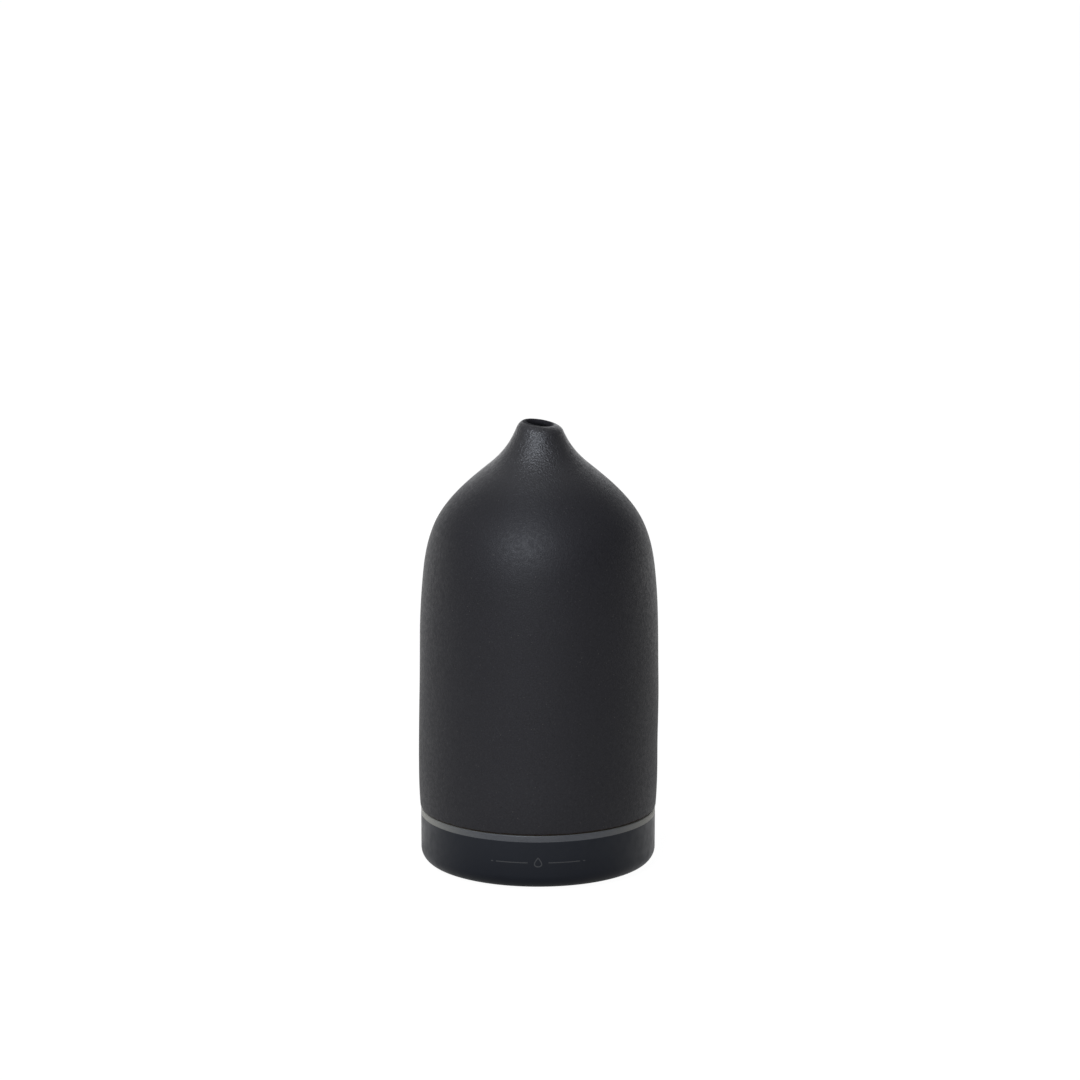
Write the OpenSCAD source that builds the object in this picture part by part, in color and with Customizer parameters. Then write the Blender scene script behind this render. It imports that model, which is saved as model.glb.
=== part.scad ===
// Ultrasonic essential oil diffuser: a ceramic cover over a lidded water tank, on a low plastic base
// that holds the fan, the driver electronics, a ring of lights and two push buttons.
// Millimetres. The origin is the centre of the plane it stands on, +Z is up, and the front faces -Y.

/* [Ceramic cover] */
// Widest diameter of the cover
cover_d = 93.25; // [92:0.25:94]
// Height of the middle of the mouth above the standing plane
mouth_z = 175; // [174:0.5:178]
// Wall thickness of the body of the cover
cover_wall = 3.8; // [3.4:0.1:3.8]
// Wall thickness at the lip of the mouth
lip_wall = 2.6; // [2.2:0.1:3.0]
// Radius of the mouth
mouth_r = 5.2; // [4.6:0.1:5.4]
// Tilt of the mouth
mouth_tilt = 9.5; // [0:0.5:10]
// Direction that the mouth leans to, counted from +X
mouth_lean = -20; // [-40:5:40]

/* [Base] */
// Diameter of the base
base_d = 91.5; // [91:0.1:92]
// Height of the top edge of the base
base_top = 20.1; // [20.1:0.1:21]
// Wall thickness of the base
base_wall = 2.2; // [2.0:0.1:2.2]
// Radius of the lower outside edge of the base
base_round = 5.4; // [4:0.1:5.4]
// Height of the light ring that shows between the base and the cover
ring_h = 2.5; // [2:0.1:3]
// Height that the feet stand out below the base
foot_h = 1; // [0.6:0.1:1.2]

/* [Tank and lid] */
// Height of the rim of the tank
tank_rim = 66; // [64:0.5:70]
// Height of the upper face of the tank's floor
tank_floor = 33.2; // [33:0.1:34]
// Height of the fill line
fill_z = 54; // [50:0.5:56]
// Height of the top of the lid's chimney
chimney_top = 118; // [110:1:122]

/* [Buttons and power] */
// Radius of a button cap
button_r = 3.8; // [3.4:0.1:3.8]
// Angle of each button from the power socket
button_angle = 30; // [28:1:34]
// Travel of a button
button_travel = 0.4; // [0.3:0.05:0.5]
// Radius of the centre pin of the power socket
power_pin_r = 1.0; // [0.9:0.05:1.1]

/* [Hidden] */
$fn = 96;
eps = 0.01;

// Radii of the shells, from the outside in
base_r = base_d / 2;
base_in_r = base_r - base_wall;
base_floor = foot_h + base_wall;
ring_r = base_r - 0.4;
ring_in_r = base_r - 4.9;
ring_skirt_r = base_in_r - 0.2;
ring_skirt_z = base_top - 3.8;
cover_z = base_top + ring_h;
tank_r = ring_in_r - 0.3;
tank_in_r = tank_r - 2.2;
tank_skirt_z = 17;
floor_t = 2.2;
tank_under = tank_floor - floor_t;

// Ultrasonic transducer, hung under the middle of the tank
disc_r = 10;
disc_t = 0.9;
window_r = 8.2;
seal_r = 12;
collar_r = 14.6;
collar_z = tank_under - 4.4;
clamp_t = 2;
clamp_screw_ring = 17.6;
clamp_angles = [30, 150, 270];

// Fan and the duct that leads its air up into the tank
fan_y = -14;
fan_w = 35;
fan_h = 10;
fan_z = base_floor + 1.6;
fan_top = fan_z + fan_h;
fan_bore_r = 16.3;
fan_hole = 14.5;
fan_shaft_r = 1;
rotor_r = 9.2;
blade_r = 15.7;
blade_count = 7;
duct_wall = 1.4;
duct_top = fan_top + 5.4;
spout_y = -33.5;
column_y = -34.5;
column_top = 60;

// Main board, on posts at the rear
board_z = base_floor + 1.6;
board_t = 1.6;
board_top = board_z + board_t;
board_r = 39.6;
board_front = 6;
board_posts = [[-8, 9.5], [8, 9.5], [-11.5, 33], [11.5, 33]];
jack_w = 9;
jack_h = 9.6;
jack_front = base_in_r - 0.5;
jack_l = 13.5;
jack_bore_l = 9.6;
axis_z = 11;

// Screws that hold the tank to the base, between the fan and the wall
case_screw_ring = 33.5;
case_angles = [45, 135, 225, 315];
boss_r = 3.6;
boss_split = 12;
screw_r = 1.45;
foot_r = 4.2;
foot_ring = 32.6;

// Light board, a C that is open at the rear for the buttons and the socket
led_z = 13.6;
led_t = 1;
led_start = 135;
led_sweep = 270;
led_count = 12;

mist_angle = 90 - button_angle;
light_angle = 90 + button_angle;
// Where a button's stem meets its plunger, and the bottom of the recess the plunger slides in
stem_end_r = 38.6;
switch_recess_r = 35.4;

// Stations of the cover's outside: height, radius and slope, for a smooth curve between them.
// The body swells a little, rolls over a shoulder, then draws in to a narrow neck.
function cover_stations() = [
    [cover_z, 45.8, 0.09], [53, 46.5, 0.01], [89, 46.3, -0.01], [115, 45.2, -0.09],
    [135, 40.85, -0.43], [149, 30.7, -0.99], [159, 19.6, -1.14], [171, 10.1, -0.53],
    [182, 5.8, -0.30]];

// Radius at height z of the smooth curve through the stations s, counted from station i
function curve_r(s, z, i = 0) =
    (i < len(s) - 2 && z > s[i + 1][0]) ? curve_r(s, z, i + 1) :
    let (h = s[i + 1][0] - s[i][0], t = (z - s[i][0]) / h)
    (2 * t ^ 3 - 3 * t ^ 2 + 1) * s[i][1] + (t ^ 3 - 2 * t ^ 2 + t) * h * s[i][2]
    + (3 * t ^ 2 - 2 * t ^ 3) * s[i + 1][1] + (t ^ 3 - t ^ 2) * h * s[i + 1][2];

function cover_r(z) = curve_r(cover_stations(), z) * cover_d / 93;
function cover_slope(z) = (cover_r(z + 0.05) - cover_r(z - 0.05)) / 0.1;
// The wall keeps its thickness up to the shoulder, then thins towards the lip
function wall_at(z) = cover_wall + (lip_wall - cover_wall) * max(0, min(1, (z - 140) / 30));
// The inside follows the outside, one wall thickness in, square to the surface
function inner_point(z) =
    let (m = cover_slope(z), k = wall_at(z) / sqrt(1 + m * m))
    [max(mouth_r, cover_r(z) - k), z + m * k];

function arc(cx, cy, r, a0, a1, n = 8) =
    [for (i = [0:n]) let (a = a0 + (a1 - a0) * i / n) [cx + r * cos(a), cy + r * sin(a)]];

// A point at t on a cubic curve with end points a, d and handles b, c
function bezier(a, b, c, d, t) =
    a * (1 - t) ^ 3 + 3 * b * t * (1 - t) ^ 2 + 3 * c * t ^ 2 * (1 - t) + d * t ^ 3;

function unit(v) = v / norm(v);
// The path p moved sideways by w, square to itself
function beside(p, w) = [for (i = [0:len(p) - 1])
    let (d = unit(p[min(i + 1, len(p) - 1)] - p[max(i - 1, 0)])) p[i] + w * [-d[1], d[0]]];
function reversed(p) = [for (i = [len(p) - 1:-1:0]) p[i]];

module at_angles(angles, r) {
    for (a = angles) rotate([0, 0, a]) translate([r, 0, 0]) children();
}

// A tube, or a disc if the inner radius is 0
module ring(r_out, r_in, h) {
    difference() {
        cylinder(r = r_out, h = h);
        if (r_in > 0) translate([0, 0, -1]) cylinder(r = r_in, h = h + 2);
    }
}

// A flat bar with round ends, l long and w wide, along X
module stadium(l, w, h) {
    linear_extrude(h) {
        square([l - w, w], center = true);
        for (s = [-1, 1]) translate([s * (l - w) / 2, 0]) circle(d = w);
    }
}

module pan_screw(head_r, head_h, shank_r, shank_l) {
    difference() {
        cylinder(r = head_r, h = head_h);
        translate([0, 0, head_h - 0.8]) {
            for (a = [0, 90]) rotate([0, 0, a]) translate([-head_r * 0.6, -0.3, 0])
                cube([head_r * 1.2, 0.6, 1]);
        }
    }
    translate([0, 0, -shank_l]) cylinder(r = shank_r, h = shank_l + eps);
}

// A wire through points p, with eight flats
module wire(p, r) {
    for (i = [0:len(p) - 2]) {
        d = p[i + 1] - p[i];
        translate(p[i]) rotate([0, acos(d[2] / norm(d)), atan2(d[1], d[0])])
            cylinder(r = r, h = norm(d), $fn = 8);
    }
    for (i = [1:len(p) - 2]) translate(p[i]) sphere(r = r * 1.1, $fn = 8);
}

module at_mouth() {
    translate([0, 0, mouth_z]) rotate([0, 0, mouth_lean]) rotate([0, mouth_tilt, 0]) children();
}

module ceramic_cover() {
    foot_round = 1.2;
    lip_r = lip_wall / 2;
    outer = [for (i = [0:44]) let (z = cover_z + foot_round + 0.4 + i * 3.5) [cover_r(z), z]];
    inner = [for (i = [0:44]) inner_point(cover_z + 1 + i * 3.5)];
    r0 = cover_r(cover_z + foot_round);
    color("#2f2f31") {
        difference() {
            rotate_extrude() polygon(concat([[0, cover_z]],
                arc(r0 - foot_round, cover_z + foot_round, foot_round, -90, 0, 5),
                outer, [[0, outer[44][1]]]));
            rotate_extrude() polygon(concat([[0, cover_z - 1], [inner[0][0], cover_z - 1]],
                [for (p = inner) if (p[1] < mouth_z - 6) p],
                [[mouth_r, mouth_z - 2.5], [mouth_r, mouth_z + 12], [0, mouth_z + 12]]));
            at_mouth() translate([-20, -20, 0]) cube([40, 40, 20]);
        }
        at_mouth() translate([0.3, 0, -0.3]) rotate_extrude()
            translate([mouth_r + lip_r, 0]) circle(r = lip_r, $fn = 32);
    }
}

module tank_lid() {
    wall = 1.6;
    flange_r = tank_r - 0.1;
    skirt_r = tank_in_r - 0.2;
    knee = [9.4, tank_rim + 22];
    dome = [for (i = [0:16]) bezier([skirt_r - 0.6, tank_rim + 2.4], [26, tank_rim + 4.4],
        [11, tank_rim + 5], knee, i / 16)];
    path = concat(dome, [[7.4, chimney_top]]);
    color("#3a3b3e") rotate_extrude() {
        polygon(concat(path, reversed(beside(path, wall))));
        difference() {
            translate([skirt_r - 3, tank_rim]) square([flange_r - skirt_r + 3, 2]);
            translate([skirt_r - 4, tank_rim - 1]) square([2.4, 4]);
        }
        translate([skirt_r - 1.6, tank_rim - 4]) square([1.6, 5]);
        translate([skirt_r - 1.6, tank_rim]) square([1.6, 3]);
    }
}

module water_tank() {
    flange_r = tank_r + 1.2;
    color("#3c3d40") difference() {
        union() {
            rotate_extrude() {
                translate([tank_in_r, tank_skirt_z])
                    square([tank_r - tank_in_r, tank_rim - tank_skirt_z]);
                translate([tank_r - 1, cover_z]) square([flange_r - tank_r + 1, 1.8]);
                translate([0, tank_under]) square([tank_in_r + 1, floor_t]);
                translate([0, collar_z]) square([collar_r, tank_under - collar_z + 1]);
            }
            translate([0, column_y, tank_under + 1]) stadium(18, 9, column_top - tank_under - 1);
            at_angles(case_angles, case_screw_ring) translate([0, 0, boss_split])
                cylinder(r = boss_r, h = tank_under - boss_split + 1);
            at_angles(clamp_angles, clamp_screw_ring) translate([0, 0, collar_z])
                cylinder(r = 2.7, h = tank_under - collar_z + 1);
            rotate([0, 0, 70]) rotate_extrude(angle = 40)
                translate([tank_in_r - 0.5, fill_z]) square([1, 0.6]);
        }
        translate([0, 0, collar_z - 1]) cylinder(r = seal_r, h = tank_under - collar_z + 1);
        translate([0, 0, tank_under - 2]) cylinder(r = window_r, h = 8);
        translate([0, 0, tank_floor - 0.8]) cylinder(r1 = window_r, r2 = window_r + 1.6, h = 1);
        translate([0, column_y, tank_under - 2]) stadium(15, 6, column_top);
        at_angles(case_angles, case_screw_ring) translate([0, 0, boss_split - 1])
            cylinder(r = screw_r + 0.05, h = 17);
        at_angles(clamp_angles, clamp_screw_ring) translate([0, 0, collar_z - 1])
            cylinder(r = 1.05, h = 4.6);
    }
}

module light_ring() {
    color("#8d9299") rotate_extrude() polygon([
        [ring_in_r, ring_skirt_z], [ring_skirt_r, ring_skirt_z], [ring_skirt_r, base_top],
        [ring_r - 0.2, base_top], [ring_r, base_top + 0.2], [ring_r, cover_z - 0.2],
        [ring_r - 0.2, cover_z], [ring_in_r, cover_z]]);
}

// A hole of radius r through the wall of the base, at an angle round it
module wall_hole(angle, r) {
    rotate([0, 0, angle]) translate([base_r - 6, 0, axis_z]) rotate([0, 90, 0])
        cylinder(r = r, h = 12);
}

module base_shell() {
    in_round = 3.2;
    vent_r = 13;
    color("#26292e") difference() {
        union() {
            rotate_extrude() polygon(concat([[0, foot_h]],
                arc(base_r - base_round, foot_h + base_round, base_round, -90, 0, 10),
                [[base_r, base_top - 0.4], [base_r - 0.4, base_top], [base_in_r, base_top]],
                arc(base_in_r - in_round, base_floor + in_round, in_round, 0, -90, 6),
                [[0, base_floor]]));
            at_angles(case_angles, case_screw_ring)
                translate([0, 0, base_floor - 1]) cylinder(r = boss_r, h = boss_split - base_floor + 1);
            for (p = board_posts) translate([p[0], p[1], base_floor - 1])
                cylinder(r = 2.4, h = board_z - base_floor + 1);
            for (x = [-1, 1], y = [-1, 1]) translate([x * fan_hole, fan_y + y * fan_hole, base_floor - 1])
                cylinder(r = 2.6, h = fan_z - base_floor + 1);
            for (a = [0, 180, 215, 325]) rotate([0, 0, a])
                translate([base_in_r - 2.4, -1, base_floor]) cube([3, 2, led_z - base_floor]);
        }
        at_angles(case_angles, case_screw_ring) translate([0, 0, foot_h - 1]) {
            cylinder(r = 3.2, h = 3.4);
            cylinder(r = 1.7, h = 20);
        }
        at_angles([0:90:270], foot_ring) translate([0, 0, foot_h - 1])
            cylinder(r = foot_r + 0.05, h = 1.8);
        for (p = board_posts) translate([p[0], p[1], foot_h + 0.8]) cylinder(r = 0.95, h = 8);
        for (x = [-1, 1], y = [-1, 1])
            translate([x * fan_hole, fan_y + y * fan_hole, foot_h + 0.8])
                cylinder(r = screw_r + 0.05, h = 8);
        for (i = [-3:3]) translate([0, fan_y + i * 3.6, foot_h - 1]) {
            l = 2 * sqrt(vent_r ^ 2 - (i * 3.6) ^ 2);
            stadium(l, 1.8, 6);
        }
        wall_hole(90, 4.2);
        wall_hole(mist_angle, button_r + 0.2);
        wall_hole(light_angle, button_r + 0.2);
    }
}

module rubber_feet() {
    color("#1b1b1c") at_angles([0:90:270], foot_ring) {
        cylinder(r1 = foot_r - 0.3, r2 = foot_r, h = 0.3);
        translate([0, 0, 0.3]) cylinder(r = foot_r, h = foot_h + 0.5);
    }
}

module case_screws() {
    color("#8a8d91") at_angles(case_angles, case_screw_ring) translate([0, 0, foot_h + 2.4])
        rotate([180, 0, 0]) pan_screw(2.8, 1.8, screw_r, 22);
}

// A button: a cap that follows the curve of the base, a flange that keeps it in, and a stem
module button(angle) {
    rotate([0, 0, angle]) {
        intersection() {
            translate([0, 0, axis_z]) rotate([0, 90, 0]) cylinder(r = button_r, h = 60);
            translate([0, 0, axis_z - 10]) ring(base_r + 0.3, base_in_r - 1.2, 20);
            translate([20, -20, 0]) cube([40, 40, 30]);
        }
        translate([base_in_r - 1.8, 0, axis_z]) rotate([0, 90, 0])
            cylinder(r = button_r + 1, h = 1.3);
        translate([stem_end_r, 0, axis_z]) rotate([0, 90, 0])
            cylinder(r = 1.6, h = base_in_r - 1.8 - stem_end_r + eps);
    }
}

module mist_button() {
    color("#2b2e33") button(mist_angle);
}

module light_button() {
    color("#2b2e33") button(light_angle);
}

// A push switch that lies on its side at the edge of the board, with its legs through the board
module switch_body(angle) {
    rotate([0, 0, angle]) {
        difference() {
            translate([33.6, -3.1, board_top]) cube([3.6, 6.2, 8]);
            translate([switch_recess_r, 0, axis_z]) rotate([0, 90, 0]) cylinder(r = 1.55, h = 4);
        }
        for (y = [-2.2, 2.2], x = [34.4, 36.2]) translate([x - 0.3, y - 0.3, board_z - 1])
            cube([0.6, 0.6, board_t + 1 + eps]);
    }
}

module mist_switch() {
    color("#202224") switch_body(mist_angle);
}

module light_switch() {
    color("#202224") switch_body(light_angle);
}

module switch_plunger(angle) {
    inner_end = switch_recess_r + button_travel + 0.2;
    rotate([0, 0, angle]) translate([inner_end, 0, axis_z]) rotate([0, 90, 0])
        cylinder(r = 1.5, h = stem_end_r - inner_end);
}

module mist_switch_plunger() {
    color("#c9c4b4") switch_plunger(mist_angle);
}

module light_switch_plunger() {
    color("#c9c4b4") switch_plunger(light_angle);
}

// Pin holes of the parts that are soldered through the board: x, y, radius
function board_holes() = concat(
    [for (s = [-1, 1], y = [-2.2, 2.2], x = [34.4, 36.2])
        let (a = 90 + s * button_angle) [x * cos(a) - y * sin(a), x * sin(a) + y * cos(a), 0.6]],
    [for (p = board_posts) [p[0], p[1], 1.1]],
    [for (x = [-3, 0, 3]) [x, jack_front - jack_l + 1.4, 0.8]]);

module main_board() {
    color("#1d5a3a") difference() {
        translate([0, 0, board_z]) intersection() {
            cylinder(r = board_r, h = board_t);
            translate([-50, board_front, 0]) cube([100, 50, board_t]);
        }
        at_angles([45, 135], case_screw_ring) cylinder(r = boss_r + 0.5, h = 20);
        for (h = board_holes()) translate([h[0], h[1], 0]) cylinder(r = h[2], h = 20, $fn = 24);
    }
}

module board_screws() {
    color("#9a9da1") for (p = board_posts) translate([p[0], p[1], board_top])
        pan_screw(1.8, 1.2, 0.9, board_top - foot_h - 1.2);
}

module dc_jack() {
    color("#18191a") difference() {
        translate([-jack_w / 2, jack_front - jack_l, board_top]) cube([jack_w, jack_l, jack_h]);
        translate([0, jack_front - jack_bore_l, axis_z]) rotate([-90, 0, 0])
            cylinder(r = 3.15, h = 20);
        translate([0, jack_front - jack_l - 1, axis_z]) rotate([-90, 0, 0])
            cylinder(r = power_pin_r + 0.2, h = 20);
        for (x = [-3, 0, 3]) translate([x - 0.5, jack_front - jack_l + 1, board_top - 1])
            cube([1, 0.8, 2.8]);
    }
}

module dc_jack_contacts() {
    tail_y = jack_front - jack_l + 1.2;
    color("#c8c9cb") {
        translate([0, jack_front - jack_l - 0.6, axis_z]) rotate([-90, 0, 0]) {
            cylinder(r = power_pin_r + 0.2, h = jack_l + 0.6 - jack_bore_l);
            cylinder(r = power_pin_r, h = jack_l + 0.6 - 1.2);
        }
        translate([-1.2, jack_front - jack_l - 0.6, board_top + 3.4]) cube([2.4, 0.5, 3]);
        for (x = [-3, 0, 3]) translate([x - 0.4, tail_y, board_z - 1]) cube([0.8, 0.4, 3.6]);
    }
}

module driver_inductor() {
    translate([-12, 17, board_top]) {
        color("#2a2a2c") {
            cylinder(r = 5.4, h = 1.2);
            cylinder(r = 2.4, h = 8);
            translate([0, 0, 6.8]) cylinder(r = 5.4, h = 1.2);
        }
        color("#a8622e") translate([0, 0, 1.2]) ring(4.8, 2.4, 5.6);
    }
}

module heat_sink() {
    fins = 6;
    color("#b4b7ba") translate([12.6, 9.2, board_top]) {
        cube([15, 1.6, 9]);
        for (i = [0:fins - 1]) translate([i * (15 - 1) / (fins - 1), -2.6, 0]) cube([1, 2.7, 9]);
    }
}

module drive_transistor() {
    color("#1c1c1e") translate([15.2, 11.6, board_top + 1.6]) cube([9.8, 3.4, 7.2]);
    color("#c4c6c8") translate([15.2, 10.8, board_top + 1.6]) cube([9.8, 0.8, 7.4]);
    color("#c4c6c8") for (x = [-2.54, 0, 2.54]) translate([20.1 + x - 0.35, 12.8, board_z + board_t])
        cube([0.7, 0.5, 1.7]);
}

module transistor_screw() {
    color("#9a9da1") translate([20.1, 15, board_top + 6]) rotate([-90, 0, 0]) ring(1.9, 0, 1.1);
}

module smoothing_capacitor() {
    color("#26384f") translate([0, 16.5, board_top]) cylinder(r = 4, h = 8.6);
    color("#b9bcc0") translate([0, 16.5, board_top + 8.6]) cylinder(r = 3.4, h = 0.3);
}

module controller_chip() {
    color("#161718") translate([-9.8, 23.5, board_top + 0.3]) cube([9.9, 3.9, 1.5]);
    color("#c4c6c8") for (i = [0:7], s = [0, 1]) translate([-9.5 + i * 1.27, 22.4 + s * 5, board_top])
        cube([0.42, 1.1, 0.9]);
}

// The small surface-mounted resistors and capacitors
module chip_parts() {
    places = [[-28, 17.5, 0], [-29.4, 19.8, 0], [7.5, 20, 90], [9.6, 20, 90], [7.5, 25, 90],
        [9.6, 25, 90], [-20, 9.5, 0], [3.2, 24, 90], [-16, 24.6, 0]];
    color("#8a6f4e") for (p = places) translate([p[0], p[1], board_top]) rotate([0, 0, p[2]])
        translate([-1, -0.6, 0]) cube([2, 1.2, 0.6]);
}

// Two-pin plugs for the fan, the transducer and the lights, each in its header
connector_places = [[-27.5, 9.4], [-27.5, 13.6], [31, 10.6]];
module board_connectors() {
    color("#ded9cc") for (p = connector_places) translate([p[0], p[1], board_top]) difference() {
        translate([-3, -1.6, 0]) cube([6, 3.2, 5]);
        for (x = [-1.25, 1.25]) translate([x, 0, 3]) cylinder(r = 0.75, h = 4, $fn = 24);
    }
}

module led_board() {
    color("#e4e4df") rotate([0, 0, led_start]) rotate_extrude(angle = led_sweep)
        translate([ring_in_r - 1.4, led_z]) square([base_in_r - ring_in_r + 1.2, led_t]);
}

module ring_leds() {
    step = (led_sweep - 16) / (led_count - 1);
    color("#f2e6b8") for (i = [0:led_count - 1])
        rotate([0, 0, led_start + 8 + i * step]) translate([ring_in_r + 0.6, -1.5, led_z + led_t])
            cube([1.4, 3, 0.9]);
}

module led_leads() {
    p = connector_places[2];
    color("#c23a32") for (i = [0, 1]) {
        x = p[0] + (i == 0 ? -1.25 : 1.25);
        wire([[x, p[1], board_top + 3.2], [x, p[1], board_top + 5.8], [x + 3, p[1] - 3, 12.8],
            [40.2, 1.2 + i * 2, 11.8], [40.2, 1.2 + i * 2, led_z - eps]], 0.5);
    }
}

module transducer_disc() {
    color("#c9b069") translate([0, 0, tank_under - 2.4]) cylinder(r = disc_r, h = disc_t);
}

module transducer_seal() {
    disc_z = tank_under - 2.4;
    color("#d8d8d4") rotate_extrude() polygon([[window_r, tank_under], [seal_r, tank_under],
        [seal_r, collar_z], [window_r + 0.4, collar_z], [window_r + 0.4, disc_z],
        [disc_r, disc_z], [disc_r, disc_z + disc_t], [window_r, disc_z + disc_t]]);
}

module transducer_clamp() {
    color("#2a2b2d") difference() {
        translate([0, 0, collar_z - clamp_t]) {
            ring(collar_r, window_r + 0.4, clamp_t);
            at_angles(clamp_angles, clamp_screw_ring) cylinder(r = 3, h = clamp_t);
            at_angles(clamp_angles, 14) translate([-1, -3, 0]) cube([4, 6, clamp_t]);
        }
        at_angles(clamp_angles, clamp_screw_ring) translate([0, 0, collar_z - clamp_t - 1])
            cylinder(r = 1.2, h = 10);
    }
}

module clamp_screws() {
    color("#9a9da1") at_angles(clamp_angles, clamp_screw_ring)
        translate([0, 0, collar_z - clamp_t]) rotate([180, 0, 0]) pan_screw(2, 1.4, 1, 5);
}

module transducer_leads() {
    p = connector_places[1];
    disc_under = tank_under - 2.4;
    color("#1e4f9a") for (i = [0, 1]) {
        x = p[0] + (i == 0 ? -1.25 : 1.25);
        wire([[-3.4 + i * 3, 3, disc_under], [-3.4 + i * 3, 3, 21.6], [-9, 6 + i * 2.2, 21.6],
            [x + 1, p[1], 20.6 - i], [x, p[1], 18], [x, p[1], board_top + 3.2]], 0.55);
    }
}

module fan_frame() {
    hub_r = 8.4;
    plate_z = fan_top - 1.4;
    color("#222325") translate([0, fan_y, 0]) difference() {
        union() {
            translate([0, 0, fan_z]) linear_extrude(fan_h) difference() {
                union() {
                    square([fan_w - 6, fan_w], center = true);
                    square([fan_w, fan_w - 6], center = true);
                    for (x = [-1, 1], y = [-1, 1])
                        translate([x * (fan_w / 2 - 3), y * (fan_w / 2 - 3)]) circle(r = 3);
                }
                circle(r = fan_bore_r);
            }
            translate([0, 0, plate_z]) cylinder(r = hub_r, h = 1.4);
            translate([0, 0, 8]) cylinder(r = 3, h = plate_z - 8 + eps);
            for (a = [45:90:315]) rotate([0, 0, a]) translate([hub_r - 1, -0.9, plate_z])
                cube([fan_bore_r - hub_r + 2, 1.8, 1.4]);
        }
        translate([0, 0, 7]) cylinder(r = 2.2, h = plate_z - 7);
        for (x = [-1, 1], y = [-1, 1]) translate([x * fan_hole, y * fan_hole, fan_z - 1])
            cylinder(r = 1.7, h = fan_h + 2);
    }
}

module fan_bearing() {
    color("#b08d4a") translate([0, fan_y, 8]) ring(2.2, fan_shaft_r + 0.03, fan_top - 1.4 - 8);
}

// Four poles of stacked laminations with a coil round each
module fan_stator() {
    color("#8f9296") translate([0, fan_y, 9]) difference() {
        union() {
            cylinder(r = 4, h = 2.4);
            for (a = [0:90:270]) rotate([0, 0, a]) translate([3.4, -0.8, 0]) cube([3, 1.6, 2.4]);
            for (a = [0:90:270]) rotate([0, 0, a]) intersection() {
                ring(6.8, 6.0, 2.4);
                translate([0, -3, 0]) cube([8, 6, 2.4]);
            }
        }
        translate([0, 0, -1]) cylinder(r = 3, h = 6);
    }
    color("#a8622e") for (a = [0:90:270]) translate([0, fan_y, 9]) rotate([0, 0, a])
        difference() {
            translate([4.2, -1.5, -0.6]) cube([1.6, 3, 3.6]);
            translate([3, -0.8, 0]) cube([4, 1.6, 2.4]);
        }
}

module fan_impeller() {
    cup_z = fan_z + 0.8;
    color("#1c1d1f") translate([0, fan_y, cup_z]) {
        difference() {
            cylinder(r = rotor_r, h = 6.8);
            translate([0, 0, 1.2]) cylinder(r = rotor_r - 1, h = 10);
            translate([0, 0, -1]) cylinder(r = fan_shaft_r, h = 4);
        }
        intersection() {
            ring(blade_r, rotor_r - 0.4, 7);
            for (i = [0:blade_count - 1]) rotate([0, 0, i * 360 / blade_count])
                translate([rotor_r - 1, 0, 3.5]) rotate([52, 0, 0])
                    translate([0, -6, -0.5]) cube([9, 12, 1]);
        }
    }
}

module fan_magnet() {
    color("#3b3c40") translate([0, fan_y, fan_z + 2.2]) ring(rotor_r - 1, rotor_r - 2, 5.2);
}

module fan_shaft() {
    color("#c8cacc") translate([0, fan_y, fan_z + 0.8])
        cylinder(r = fan_shaft_r, h = fan_top - 1.4 - fan_z - 1.1);
}

module fan_screws() {
    color("#9a9da1") for (x = [-1, 1], y = [-1, 1])
        translate([x * fan_hole, fan_y + y * fan_hole, fan_top + 1.5])
            pan_screw(2.6, 1.5, screw_r, fan_top + 1.5 - foot_h - 1);
}

module fan_leads() {
    p = connector_places[0];
    color("#b8322b") for (i = [0, 1]) {
        x = p[0] + (i == 0 ? -1.25 : 1.25);
        wire([[-fan_w / 2, -4 + i * 1.6, 12 - i], [-19.4 - i * 0.4, -4 + i * 1.6, 12 - i],
            [x + 3, p[1] - 5 + i, 14], [x, p[1], 14.4], [x, p[1], board_top + 3.2]], 0.5);
    }
}

// The hood over the fan: a low round chamber that opens into a flat spout under the tank
module air_duct() {
    chamber_r = 17.2;
    spout_w = 17;
    spout_d = 8;
    spout_top = tank_under - 1.4;
    color("#2c2d30") difference() {
        union() {
            translate([-fan_w / 2, fan_y - fan_w / 2, fan_top]) cube([fan_w, fan_w, 1.5]);
            translate([0, fan_y, fan_top]) cylinder(r = chamber_r, h = duct_top - fan_top);
            translate([-spout_w / 2, spout_y, fan_top])
                cube([spout_w, fan_y - spout_y, duct_top - fan_top]);
            translate([0, spout_y, fan_top]) stadium(spout_w, spout_d, spout_top - fan_top);
        }
        translate([0, fan_y, fan_top - 1])
            cylinder(r = chamber_r - duct_wall, h = duct_top - fan_top + 1 - duct_wall);
        translate([-spout_w / 2 + duct_wall, spout_y, fan_top + duct_wall])
            cube([spout_w - 2 * duct_wall, fan_y - spout_y, duct_top - fan_top - 2 * duct_wall]);
        translate([0, spout_y, fan_top + duct_wall])
            stadium(spout_w - 2 * duct_wall, spout_d - 2 * duct_wall, 30);
        for (x = [-1, 1], y = [-1, 1])
            translate([x * fan_hole, fan_y + y * fan_hole, fan_top - 1]) {
                cylinder(r = 1.7, h = 4);
                translate([0, 0, 2.5]) cylinder(r = 2.9, h = 8);
            }
    }
}

module duct_seal() {
    color("#4a4b4e") translate([0, spout_y, tank_under - 1.4]) difference() {
        stadium(17, 8, 1.4);
        translate([0, 0, -1]) stadium(14.2, 5.2, 4);
    }
}

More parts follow.
